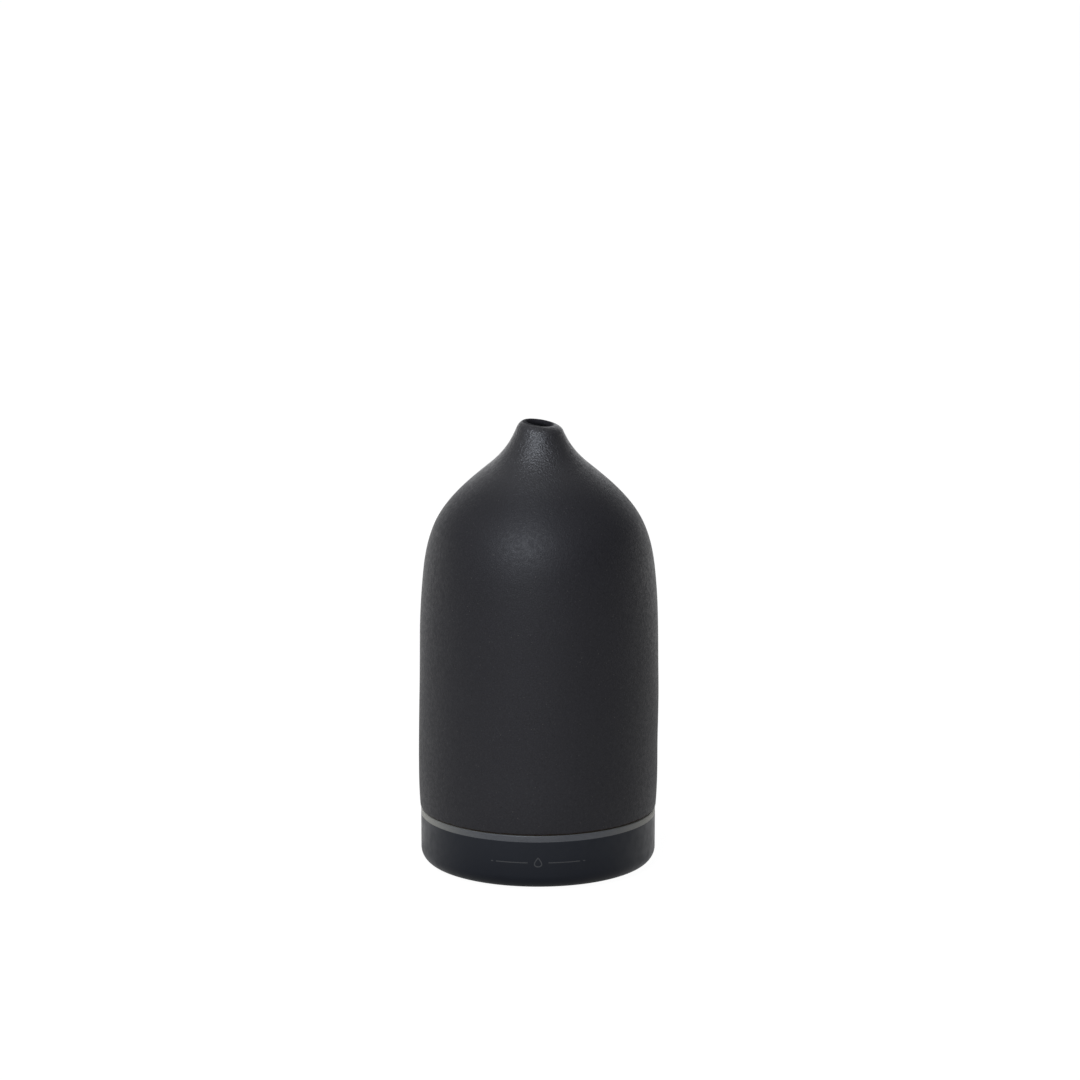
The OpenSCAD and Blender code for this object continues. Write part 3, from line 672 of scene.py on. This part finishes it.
def air_slots():
    grille_r, pitch, width, slots = 13, 3.6, 1.8, []
    for i in range(-3, 4):
        y = i * pitch
        length = 2 * math.sqrt(grille_r**2 - y * y)
        slots.append(shift(prism([
            (stadium(length + 2.0, width + 1), 0), (stadium(length + 0.9, width + 0.9), BASE_Z0 - 0.05),
            (stadium(length + 0.25, width + 0.25), BASE_Z0 + 0.2),
            (stadium(length, width), BASE_Z0 + 0.5), (stadium(length, width), 4)]), 0, FAN_Y + y))
    return slots


def base_part():
    shell = lathe(rounded([
        (0, BASE_Z0, 0), (BASE_R - 0.07, BASE_Z0, 5.4), (BASE_R, BASE_TOP, 0.03),
        (BASE_IN, BASE_TOP, 0.3), (BASE_IN, FLOOR_Z, 3.2), (0, FLOOR_Z, 0)], 14), 240)
    root, post_top = FLOOR_Z - 1.0, 4.8
    bosses = at_angles(disc(3.6, root, 12.0, 0.3), CORNERS, CASE_RING)
    posts = at_spots(disc(2.4, root, post_top, 0.2, 32), BOARD_POSTS)
    fan_posts = at_spots(disc(2.6, root, post_top, 0.2, 32), FAN_HOLES)
    ledge = soft_block(2.8, 2.0, 10.9, 0.3, 0.2)
    ledges = at_angles(shift(ledge, z=FLOOR_Z - 0.5), (0, 180, 215, 325), 42.4)
    solid = boolean(shell, join(bosses, posts, fan_posts, ledges), "UNION")
    cuts = [at_angles(stepped_hole(((3.2, 3.4), (1.7, 20)), 48), CORNERS, CASE_RING),
            at_angles(stepped_hole(((4.25, 1.8),), 64), QUARTERS, FOOT_RING),
            at_spots(disc(0.95, 1.8, 9, 0, 24), BOARD_POSTS), at_spots(disc(1.5, 1.8, 9, 0, 24), FAN_HOLES),
            *air_slots(), wall_cutter(SOCKET_ANGLE, 4.2),
            wall_cutter(MIST_ANGLE, BUTTON_R + 0.2), wall_cutter(LIGHT_ANGLE, BUTTON_R + 0.2)]
    return boolean(solid, join(*cuts), "DIFFERENCE")


def foot_part():
    """A rubber foot: soft lower edge and two shallow rings moulded in its face."""
    top = highest("rubber_feet").z
    return lathe([
        (0, 0.22), (1.15, 0.22), (1.3, 0.05), (1.5, 0), (2.5, 0), (2.65, 0.08), (2.8, 0.2),
        (3.0, 0.2), (3.12, 0.06), (3.3, 0), (3.85, 0), (4.02, 0.05), (4.14, 0.16), (4.2, 0.34),
        (4.2, top - 0.1), (4.1, top), (0, top)], 64)


piece("frosted_ring", ring_part(), M_FROST, "light_ring")
piece("base_housing", base_part(), M_BASE, "base_shell", sharp=38)
piece("rubber_foot_set", at_angles(foot_part(), QUARTERS, FOOT_RING), M_RUBBER, "rubber_feet")

# -------- printed marks


def print_strip(rows, spot, low=-0.04, high=0.05, closed=False):
    """A thin raised strip. rows are pairs of points (u, v) across it; spot(u, v, height) gives 3-D."""
    loops = [(spot(*a, high), spot(*b, high), spot(*b, low), spot(*a, low)) for a, b in rows]
    return skin(loops, closed)


def outline_rows(path, width):
    """Pairs of points on both sides of a closed path, width apart."""
    rows = []
    for i, p in enumerate(path):
        p, a, b = Vector(p), Vector(path[i - 1]), Vector(path[(i + 1) % len(path)])
        d = (b - a).normalized()
        side = Vector((-d.y, d.x)) * (width / 2)
        rows.append((p + side, p - side))
    return rows


def bar_rows(a, b, width, steps):
    """A straight bar with round ends from a to b."""
    a, b, r = Vector(a), Vector(b), width / 2
    along = (b - a).normalized()
    across = Vector((-along.y, along.x))
    end = [(out, max(half, 0.05 * r)) for out, half in arc(0, 0, r, r, 0, math.pi / 2, 4)]
    spine = [(a - along * out, half) for out, half in end]
    spine += [(a.lerp(b, u), r) for u in fractions(steps)]
    spine += [(b + along * out, half) for out, half in reversed(end)]
    return [(p + across * half, p - across * half) for p, half in spine]


def droplet(height, width, steps=48):
    """A teardrop outline with its tip up, centred on 0."""
    out = []
    for k in range(steps):
        t = TAU * (k + 0.5) / steps
        out.append((width * 0.65 * math.sin(t) * math.sin(t / 2) ** 1.6, height / 2 * math.cos(t)))
    return out


def on_front(u, v, height):
    """Places (u, v) on the front of the base."""
    mark_z, r = 12.2, BASE_R - 0.02 + height
    return r * math.sin(u / BASE_R), -r * math.cos(u / BASE_R), mark_z + v


def front_mark():
    """A droplet between two thin bars, each with a dot beyond it."""
    mark = [print_strip(outline_rows(droplet(3.7, 3.1), 0.42), on_front, closed=True)]
    for side in (-1, 1):
        for start, end, steps in ((4.2, 16.5, 30), (18.0, 18.6, 4)):
            bar = bar_rows((side * start, -0.3), (side * end, -0.3), 0.4, steps)
            mark.append(print_strip(bar, on_front))
    return join(*mark)


piece("front_mark", front_mark(), M_INK, "base_shell", replaces=False, sharp=60)

# -------- buttons


def key_face(u, v):
    """How far a button's face stands out at (u, v): curved like the base, with a shallow dish."""
    return 0.3 + math.sqrt(BASE_R**2 - u * u) - 0.25 * math.exp(-(u * u + v * v) / 4.5)


def key_part():
    """A push button on the X axis: cap, flange and stem."""
    face, back, flange = BASE_R + 0.3, BASE_IN - 1.8, BASE_IN - 0.5
    outline = rounded([
        (0, 38.6, 0), (1.6, 38.6, 0.2), (1.6, back, 0), (4.8, back, 0.2), (4.8, flange, 0.2),
        (BUTTON_R, flange, 0), (BUTTON_R, face, 0.45)], 5)
    r_last = outline[-1][0]
    outline += [(r_last * (1 - k / 8), face) for k in range(1, 9)]
    points, faces = lathe(outline, 64)
    points = [(x, y, z + key_face(y, x) - face if z > flange + 0.2 else z) for x, y, z in points]
    return shift(spin((points, faces), 90, "Y"), z=AXIS_Z)


def key_icon(label, angle):
    """A droplet for the mist, a sun for the light."""
    turn = Matrix.Rotation(math.radians(angle), 3, "Z")

    def spot(u, v, height):
        return turn @ Vector((key_face(u, v) + height, u, AXIS_Z + v))
    if label == "mist":
        return print_strip(outline_rows(droplet(3.2, 2.6), 0.3), spot, closed=True)
    icon = [print_strip(outline_rows(circle(0.85, 40), 0.28), spot, closed=True)]
    for c, s in circle(1, 8):
        icon.append(print_strip(bar_rows((1.45 * c, 1.45 * s), (2.0 * c, 2.0 * s), 0.26, 4), spot))
    return join(*icon)


for label, angle in (("mist", MIST_ANGLE), ("light", LIGHT_ANGLE)):
    node = f"{label}_button"
    piece(f"{label}_key", spin(key_part(), angle), M_KEY, node, node)
    piece(f"{label}_key_icon", key_icon(label, angle), M_KEY_INK, node, node, replaces=False, sharp=60)

# -------- tank and lid

TANK_R, TANK_IN = RING_IN - 0.3, RING_IN - 2.5
TANK_RIM, TANK_SKIRT = highest("water_tank").z, 17.0
TANK_FLOOR, TANK_UNDER = 33.2, 31.0
COLLAR_Z, COLLAR_R = TANK_UNDER - 4.4, 14.6
COLUMN_Y, COLUMN_TOP = -34.5, 60.0


def tank_part():
    collar = lathe(rounded([(8.0, TANK_UNDER + 0.5, 0), (COLLAR_R, TANK_UNDER + 0.5, 0),
                            (COLLAR_R, COLLAR_Z, 0.25), (12.0, COLLAR_Z, 0.15),
                            (12.0, TANK_UNDER, 0), (8.0, TANK_UNDER, 0)], 4), 96)
    vessel = lathe(rounded([
        (8.2, TANK_UNDER, 0), (TANK_IN, TANK_UNDER, 1.0), (TANK_IN, TANK_SKIRT, 0.4),
        (TANK_R, TANK_SKIRT, 0.4), (TANK_R, COVER_Z, 0), (TANK_R + 1.2, COVER_Z, 0.25),
        (TANK_R + 1.2, COVER_Z + 1.8, 0.5), (TANK_R, COVER_Z + 1.8, 0.4), (TANK_R, TANK_RIM, 0.5),
        (TANK_IN, TANK_RIM, 0.6), (TANK_IN, TANK_FLOOR, 2.2), (9.8, TANK_FLOOR, 0.5),
        (8.2, TANK_FLOOR - 0.8, 0.3)], 7), 240)
    posts = at_angles(disc(3.6, 12.0, TANK_UNDER + 1, 0.25), CORNERS, CASE_RING)
    ears = at_angles(disc(2.7, COLLAR_Z, TANK_UNDER + 1, 0.2, 40), CLAMP_ANGLES, CLAMP_RING)
    column = shift(prism([(stadium(18 - inset, 9 - inset, 14), z) for inset, z in (
        (0, TANK_UNDER + 0.6), (0, COLUMN_TOP - 0.5), (0.3, COLUMN_TOP - 0.15), (1, COLUMN_TOP))]),
        y=COLUMN_Y)
    solid = vessel
    for part in (collar, join(posts, ears), column):
        solid = boolean(solid, part, "UNION")
    bore = shift(prism([(stadium(15 + flare, 6 + flare, 14), z) for flare, z in (
        (0, TANK_UNDER - 2), (0, COLUMN_TOP - 0.3), (0.5, COLUMN_TOP + 0.05), (0.5, COLUMN_TOP + 2))]),
        y=COLUMN_Y)
    screws = at_angles(disc(1.5, 11.0, 28.0, 0, 32), CORNERS, CASE_RING)
    pilots = at_angles(disc(1.05, COLLAR_Z - 1, COLLAR_Z + 3.6, 0, 24), CLAMP_ANGLES, CLAMP_RING)
    return boolean(solid, join(bore, screws, pilots), "DIFFERENCE")


def fill_line_part():
    """A short raised rib at the rear of the tank's inside, with two ticks: the fill line."""
    r, line_z = TANK_IN - 0.25, 54.3

    def spot(u, v, height):
        a = math.pi / 2 + u / r
        return (r - height) * math.cos(a), (r - height) * math.sin(a), line_z + v
    rib = print_strip(bar_rows((-13, 0), (13, 0), 0.6, 40), spot, -0.3, 0.25)
    ticks = [print_strip(bar_rows((u, -0.2), (u, -2.6), 0.6, 6), spot, -0.3, 0.25) for u in (-13, 13)]
    return join(rib, *ticks)


def lid_part():
    """Flange, skirt and a dome that sweeps up into the open chimney."""
    wall, skirt_r, flange_r = 1.6, TANK_IN - 0.2, TANK_R - 0.1
    a, b = Vector((skirt_r - 0.6, TANK_RIM + 2.4)), Vector((26, TANK_RIM + 4.4))
    c, d = Vector((11, TANK_RIM + 5)), Vector((9.4, TANK_RIM + 22))
    path = [a * (1 - t) ** 3 + 3 * b * t * (1 - t) ** 2 + 3 * c * t * t * (1 - t) + d * t**3
            for t in (0, *fractions(40), 1)]
    top = Vector((7.4, highest("tank_lid").z))
    path += [d.lerp(top, k / 12) for k in range(1, 13)]
    inside = []
    for i, p in enumerate(path):
        along = (path[min(i + 1, len(path) - 1)] - path[max(i - 1, 0)]).normalized()
        inside.append(p + wall * Vector((-along.y, along.x)))
    outline = [tuple(p) for p in path[:-1]]
    middle, half = (path[-1] + inside[-1]) / 2, (path[-1] - inside[-1]).length / 2
    outline += arc(middle.x, top.y - 0.5, half, 0.5, 0, math.pi, 8)
    outline += [tuple(p) for p in reversed(inside[3:-1])]
    outline += rounded([
        (skirt_r - 2.4, TANK_RIM + 1.4, 0), (skirt_r - 1.6, TANK_RIM + 0.6, 0.3),
        (skirt_r - 1.6, TANK_RIM - 4, 0.3), (skirt_r, TANK_RIM - 4, 0.5), (skirt_r, TANK_RIM, 0.15),
        (flange_r, TANK_RIM, 0.4), (flange_r, TANK_RIM + 2, 0.7), (skirt_r, TANK_RIM + 2.1, 0.5)], 5)
    return lathe(outline, 200)


piece("tank_vessel", tank_part(), M_TANK, "water_tank", sharp=38)
piece("tank_fill_line", fill_line_part(), M_TANK, "water_tank", replaces=False, sharp=60)
piece("vented_lid", lid_part(), M_LID, "tank_lid", "lid")

# -------- inside: carried-over CAD parts


DRESSING = (  # material, width of the softened edges in mm, CAD nodes
    (M_BLACK, 0.12, "fan_impeller", "air_duct", "transducer_clamp"), (M_BLACK, 0.07, "fan_frame"),
    (M_SOCKET, 0.1, "mist_switch", "light_switch"), (M_TIN, 0.08, "dc_jack_contacts"),
    (M_NATURAL, 0.1, "board_connectors", "mist_switch_plunger", "light_switch_plunger"),
    (M_SILICONE, 0.1, "transducer_seal"), (M_PCB, 0.06, "main_board"),
    (M_LED_PCB, 0.06, "led_board"), (M_ALU, 0.1, "heat_sink"), (M_FERRITE, 0.15, "fan_magnet"),
    (M_BRONZE, 0.1, "fan_bearing"), (M_STEEL, 0.1, "fan_shaft"), (M_PIEZO, 0.08, "transducer_disc"),
    (M_FOAM, 0.1, "duct_seal"))


def dress(obj, mat, edge):
    """Gives a CAD part its material, softened edges and smooth shading."""
    mesh = obj.data
    if "custom_normal" in mesh.attributes:
        mesh.attributes.remove(mesh.attributes["custom_normal"])
    mesh.materials.clear()
    mesh.materials.append(mat)
    obj.modifiers.new("weld", "WELD").merge_threshold = 2e-6
    bevel = obj.modifiers.new("edge", "BEVEL")
    bevel.width, bevel.segments, bevel.use_clamp_overlap = edge * MM, 2, True
    bevel.limit_method, bevel.angle_limit = "ANGLE", math.radians(40)
    smooth(mesh, 180)
    obj.modifiers.new("normals", "WEIGHTED_NORMAL").keep_sharp = True


for mat, edge, *nodes in DRESSING:
    for node in nodes:
        dress(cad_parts[node], mat, edge)

# -------- inside: parts of several materials

INDUCTOR, CAPACITOR, CHIP, TRANSISTOR = (-12, 17), (0, 16.5), (-4.85, 25.45), (20.1, 13.3)
LED_COUNT, LED_FIRST, LED_LAST, LED_TOP = 12, 143, 397, 14.6


def arc_block(r0, r1, half, z0, z1, steps=10):
    """A block between two radii, half an angle to either side of +X."""
    a = math.radians(half)
    loop = arc(0, 0, r1, r1, -a, a, steps) + arc(0, 0, r0, r0, a, -a, steps)
    return prism([(loop, z0), (loop, z1)])


def hoop(loop, r, steps=8):
    """A round wire along a closed loop in the XY plane."""
    rings = []
    for i, (x, y) in enumerate(loop):
        along = (Vector(loop[(i + 1) % len(loop)]) - Vector(loop[i - 1])).normalized()
        rings.append([(x + along.y * u, y - along.x * u, v) for u, v in circle(r, steps)])
    return skin(rings, closed=True)


def inductor_parts():
    drum = lathe(rounded([
        (0, 0, 0), (5.4, 0, 0.25), (5.4, 1.2, 0.25), (2.5, 1.2, 0.1), (2.5, 6.8, 0.1), (5.4, 6.8, 0.25),
        (5.4, 8, 0.25), (1.3, 8, 0.1), (1.1, 7.7, 0.05), (0, 7.7, 0)], 4), 64)
    turns, wire, coil_r = 8, 0.35, 4.4
    turn = hoop(circle(coil_r, 64), wire)
    coil = join(*[shift(turn, z=1.2 + wire * (2 * k + 1)) for k in range(turns)],
                disc(coil_r, 1.22, 6.78, 0.1, 64, hole=2.4))
    return [shift(p, *INDUCTOR, BOARD_TOP) for p in (drum, coil)]


def stator_parts():
    """A stack of stamped sheets with four arms, and three turns of wire round each arm."""
    sheets, pitch, thick = 5, 0.48, 0.43
    core = []
    for k in range(sheets):
        z = 9 + k * pitch
        arm = join(shift(soft_block(3.2, 1.6, thick, 0.05, 0.04, 1), 4.9, 0, z),
                   arc_block(6.0, 6.8, 25, z, z + thick))
        core += [disc(4, z, z + thick, 0.04, 64, hole=3), at_angles(arm, QUARTERS)]
    turn = spin(hoop(soft_rect(3.06, 2.46, 0.5), 0.27), 90, "Y")
    coil = join(*[shift(turn, x, 0, 10.2) for x in (4.47, 5.01, 5.55)])
    return [shift(p, y=FAN_Y) for p in (join(*core), at_angles(coil, QUARTERS))]


def plus(arm, half):
    """The outline of a cross with arms of a length and half-width."""
    quarter = [(half, half), (half, arm), (-half, arm)]
    return [(x * c - y * s, x * s + y * c) for c, s in ((1, 0), (0, 1), (-1, 0), (0, -1)) for x, y in quarter]


def capacitor_parts():
    sleeve = lathe(rounded([
        (0, 0, 0), (3.9, 0, 0.3), (3.95, 1.0, 0.2), (3.65, 1.3, 0.15), (3.65, 1.6, 0.15), (4, 1.95, 0.2),
        (4, 8.6, 0.45), (3.35, 8.66, 0.03), (3.3, 8.4, 0.03), (0, 8.4, 0)], 4), 72)
    top = disc(3.3, 8.3, 8.85, 0.08, 72)
    groove = spin(prism([(plus(2.5, 0.15), 8.68), (plus(2.5, 0.15), 9.2)]), 25)
    stripe = spin(arc_block(3.9, 4.03, 14, 2.3, 7.9), 200)
    return [shift(p, *CAPACITOR, BOARD_TOP) for p in (sleeve, boolean(top, groove, "DIFFERENCE"), stripe)]


def transistor_parts():
    body = shift(soft_block(9.8, 3.4, 7.2, 0.3, 0.25), z=1.6)
    tab = shift(soft_block(9.8, 0.8, 7.4, 0.15, 0.08), 0, -2.1, 1.6)
    leg = join(shift(soft_block(0.7, 0.5, 1.8, 0.08, 0.04), z=-0.02),
               shift(soft_block(1.25, 0.5, 0.5, 0.08, 0.05), z=1.2),
               lathe(rounded([(0, 0, 0), (0.95, 0, 0.05), (0.42, 0.6, 0.15), (0, 0.6, 0)], 3), 24))
    legs = at_spots(leg, ((-2.54, -0.25), (0, -0.25), (2.54, -0.25)))
    return [shift(p, *TRANSISTOR, BOARD_TOP) for p in (body, join(tab, legs))]


def chip_parts():
    """A moulded body with a pin-one dimple, and eight gull-wing legs on each long side."""
    body = prism([(soft_rect(w, d, 0.12), z) for w, d, z in (
        (9.5, 3.5, 0.3), (9.62, 3.62, 0.36), (9.9, 3.9, 1.0), (9.9, 3.9, 1.1), (9.62, 3.62, 1.74),
        (9.5, 3.5, 1.8))])
    body = boolean(body, shift(disc(0.42, 1.68, 2.4, 0.05, 32), -4.1, -1.05), "DIFFERENCE")
    foot = [(1.9, 0.76), (2.4, 0.76), (2.55, 0.7), (2.68, 0.17), (3.05, 0.17), (3.05, 0), (2.6, 0),
            (2.48, 0.08), (2.36, 0.58), (1.9, 0.58)]
    to_side = Matrix(((0, 0, 1, 0), (1, 0, 0, 0), (0, 1, 0, 0), (0, 0, 0, 1)))
    leg = place(prism([(foot, -0.21), (foot, 0.21)]), to_side)
    legs = [spin(shift(leg, side * (-4.44 + 1.27 * k)), 90 - 90 * side)
            for k in range(8) for side in (1, -1)]
    return [shift(p, *CHIP, BOARD_TOP) for p in (body, join(*legs))]


def small_parts():
    """Resistors and capacitors, each at (x, y, turn): a ceramic body with tinned ends."""
    spots = ((-28, 17.5, 0), (-29.4, 19.8, 0), (7.5, 20, 90), (9.6, 20, 90), (7.5, 25, 90),
             (9.6, 25, 90), (-20, 9.5, 0), (3.2, 24, 90), (-16, 24.6, 0))
    end = soft_block(0.4, 1.2, 0.6, 0.1, 0.08)
    body = soft_block(1.5, 1.1, 0.54, 0.05, 0.05)
    ends = join(shift(end, 0.8), shift(end, -0.8))
    return [join(*[shift(spin(p, a), x, y, BOARD_TOP) for x, y, a in spots]) for p in (body, ends)]


def led_parts():
    angles = [LED_FIRST + (LED_LAST - LED_FIRST) * k / (LED_COUNT - 1) for k in range(LED_COUNT)]
    cup = shift(prism([(soft_rect(0.8, 1.9, 0.3), 0), (soft_rect(1.2, 2.6, 0.4), 0.9)]), z=0.6)
    case = boolean(soft_block(1.4, 3, 0.9, 0.15, 0.08), cup, "DIFFERENCE")
    pad = shift(soft_block(1.0, 2.3, 0.3, 0.25, 0.12), z=0.5)
    return [shift(at_angles(p, angles, RING_IN + 1.3), z=LED_TOP) for p in (case, pad)]


def pan_head(r, h):
    """A pan head with a tapered cross recess, standing on z = 0."""
    head = lathe(rounded([(0, 0, 0), (r, 0, 0.12), (r, h, h * 0.6), (0, h, 0)], 5), 48)
    recess = prism([(plus(r * 0.3, 0.2), h - 0.8), (plus(r * 0.66, 0.34), h + 0.3)])
    return boolean(head, recess, "DIFFERENCE")


def screw(head_r, head_h, r, length, pitch, seg=24):
    """A self-tapping screw: its seat at z = 0, the head above, a real thread below."""
    rows, loops = int(length / pitch * 6), []
    for i in range(rows + 1):
        z = -length * i / rows
        tip = min(1.0, (length + z) / 1.5)
        plain = min(1.0, max(0.0, (-z - 0.6) / 0.6))
        loop = []
        for k in range(seg):
            a = TAU * k / seg
            phase = (z / pitch + k / seg) % 1.0
            crest = max(0.0, 1 - abs(phase - 0.5) / 0.32)
            here = (r * (0.76 + 0.24 * (1 - plain * (1 - crest)))) * (0.55 + 0.45 * tip)
            loop.append((here * math.cos(a), here * math.sin(a), z))
        loops.append(loop)
    return join(pan_head(head_r, head_h), skin(loops))


def screw_sets():
    """Every set of screws, as (CAD node, geometry)."""
    case = shift(spin(screw(2.8, 1.8, 1.45, 22, 1.1), 180, "X"), z=3.4)
    clamp_seat = highest("clamp_screws").z - 5
    clamp = shift(spin(screw(2.0, 1.4, 1.0, 5.0, 0.75), 180, "X"), z=clamp_seat)
    tab = shift(spin(pan_head(1.9, 1.1), -90, "X"), TRANSISTOR[0], 15, BOARD_TOP + 6)
    return (("case_screws", at_angles(case, CORNERS, CASE_RING)),
            ("board_screws", at_spots(screw(1.8, 1.2, 0.9, 4.2, 0.7), BOARD_POSTS, BOARD_TOP)),
            ("fan_screws", at_spots(screw(2.6, 1.5, 1.45, 14.3, 1.1), FAN_HOLES, 16.3)),
            ("clamp_screws", at_angles(clamp, CLAMP_ANGLES, CLAMP_RING)), ("transistor_screw", tab))


def socket_part():
    """The power socket: a moulded block with a flared bore. Its pin is another piece."""
    front, depth = BASE_IN - 0.5, 9.6
    block = shift(soft_block(9, 13.5, 9.6, 0.35, 0.3), 0, front - 6.75, BOARD_TOP)
    bore = lathe(rounded([(0, 0, 0), (3.15, 0, 0.2), (3.15, depth - 0.5, 0.3), (3.6, depth + 0.02, 0),
                          (3.6, 11, 0), (0, 11, 0)], 4), 64)
    return boolean(block, shift(spin(bore, -90, "X"), 0, front - depth, AXIS_Z), "DIFFERENCE")


INNER_SETS = (  # CAD node, its geometry, then (name, material) of each part; the first replaces the node
    ("driver_inductor", inductor_parts(), ("inductor_drum", M_FERRITE), ("inductor_winding", M_COPPER)),
    ("fan_stator", stator_parts(), ("stator_sheets", M_IRON), ("stator_coils", M_COPPER)),
    ("smoothing_capacitor", capacitor_parts(), ("capacitor_sleeve", M_SLEEVE), ("capacitor_top", M_ALU),
     ("capacitor_stripe", M_KEY_INK)),
    ("drive_transistor", transistor_parts(), ("transistor_body", M_SOCKET),
     ("transistor_tab_and_legs", M_TIN)),
    ("controller_chip", chip_parts(), ("chip_body", M_SOCKET), ("chip_legs", M_TIN)),
    ("chip_parts", small_parts(), ("small_part_bodies", M_CERAMIC), ("small_part_ends", M_TIN)),
    ("ring_leds", led_parts(), ("led_cases", M_LED_CASE), ("led_pads", M_RESIN)))
for node, part in screw_sets():
    piece(f"{node}_threaded", part, M_ZINC, node)
piece("power_socket", socket_part(), M_SOCKET, "dc_jack")
for node, parts, *looks in INNER_SETS:
    for i, (part, (name, mat)) in enumerate(zip(parts, looks)):
        piece(name, part, mat, node, replaces=i == 0)

# -------- wires

PIN_Z = BOARD_TOP + 3.2


def pins(x, y):
    """The two pins of a plug, as (number, x, y)."""
    return (0, x - 1.25, y), (1, x + 1.25, y)


cable("fan_wires", [[(-17.4, -4 + i * 1.6, 12 - i), (-19.4 - i * 0.4, -4 + i * 1.6, 12 - i),
                     (x + 3, y - 5 + i, 14), (x, y, 14.4), (x, y, PIN_Z)]
                    for i, x, y in pins(-27.5, 9.4)], 0.5, M_RED, "fan_leads")
cable("transducer_wires", [[(-3.4 + i * 3, 3, 28.6), (-3.4 + i * 3, 3, 21.6), (-9, 6 + i * 2.2, 21.6),
                            (x + 1, y, 20.6 - i), (x, y, 18), (x, y, PIN_Z)]
                           for i, x, y in pins(-27.5, 13.6)], 0.55, M_BLUE, "transducer_leads")
cable("light_wires", [[(x, y, PIN_Z), (x, y, PIN_Z + 2.6), (x + 3, y - 3, 12.8),
                       (40.2, 1.2 + i * 2, 11.8), (40.2, 1.2 + i * 2, 13.6)]
                      for i, x, y in pins(31, 10.6)], 0.5, M_RED, "led_leads")

# -------- studio


def seen_as(s, white, level):
    """Evenly white to the camera, but the given level to everything else."""
    seen = s.add("LightPath").outputs["Is Camera Ray"]
    return s.plus(s.times(seen, white), s.times(s.math("SUBTRACT", 1.0, seen), level))


def studio_floor():
    """A pale floor, lit from behind as the object sees it."""
    mesh, r = bpy.data.meshes.new("floor"), 9.0
    mesh.from_pydata([(-r, -r, 0), (r, -r, 0), (r, r, 0), (-r, r, 0)], [], [(0, 1, 2, 3)])
    s = Shader("floor_white")
    x, y = s.axis("X"), s.axis("Y")
    lit = s.plus(s.steps(y, 0.17, 0.5, 0.5, 1.42), s.steps(x, -0.4, -0.12, -0.22, -0.02))
    lit = s.plus(lit, s.steps(x, -0.05, 0.4, 0.0, -0.26))
    lit = s.plus(lit, s.times(s.steps(y, 0.0, 0.05, 0.0, 0.25), s.steps(y, 0.13, 0.07)))
    # dimmer right in front of the base, as in a contact shadow
    shadow = s.times(s.steps(y, 0.0, -0.05), s.steps(s.radius(), 0.11, 0.045, 0.0, 0.6))
    lit = s.times(lit, s.math("SUBTRACT", 1.0, shadow))
    s.set(Base_Color=(0.1, 0.1, 0.1), Roughness=0.9, Specular_IOR_Level=0.0,
          Emission_Color=(1, 1, 1), Emission_Strength=seen_as(s, 0.975, lit))
    mesh.materials.append(s.made)
    add_object("floor", mesh)


def studio_world():
    """Bright behind the object, dim in front, so that the sides catch the light."""
    s = Shader("studio", world=True)
    light = s.plus(s.steps(s.axis("Y"), 0.66, 1.0, 0.2, 1.15), s.steps(s.axis("X"), 1.0, -1.0, -0.08, 0.12))
    light = s.plus(light, s.steps(s.axis("Z"), 0.3, 1.0, 0.0, 0.16))
    s.set(Color=(0.97, 0.98, 1.0), Strength=seen_as(s, 1.05, light))
    bpy.context.scene.world = s.made


def softbox(name, azimuth, elevation, distance, size, power, colour):
    """A square area light that faces the object. Azimuth 0 is at the camera, and + to the right."""
    a, e = math.radians(azimuth), math.radians(elevation)
    aim = Vector((0, 0, 0.12))
    away = Vector((math.sin(a) * math.cos(e), -math.cos(a) * math.cos(e), math.sin(e)))
    data = bpy.data.lights.new(name, "AREA")
    data.shape, data.size, data.energy, data.color = "SQUARE", size, power, colour
    obj = add_object(name, data)
    obj.location = aim + away * distance
    obj.rotation_euler = away.to_track_quat("Z", "Y").to_euler()


def camera():
    """A long lens, three metres away, looking down a little."""
    distance, height, aim_down, turn = 3.0, 0.856, math.radians(13.6201), math.radians(0.0144)
    data = bpy.data.cameras.new("camera")
    data.sensor_width, data.lens = 36, 265.1
    data.clip_start, data.clip_end = 0.1, 50
    obj = add_object("camera", data)
    obj.location = (0, -distance, height)
    obj.rotation_euler = (math.pi / 2 - aim_down, 0, -turn)
    bpy.context.scene.camera = obj


studio_floor()
studio_world()
softbox("key", -18, 38, 1.9, 0.72, 15.6, (0.92, 0.98, 1.08))
camera()
view = bpy.context.scene.view_settings
view.view_transform, view.look = "Standard", "None"
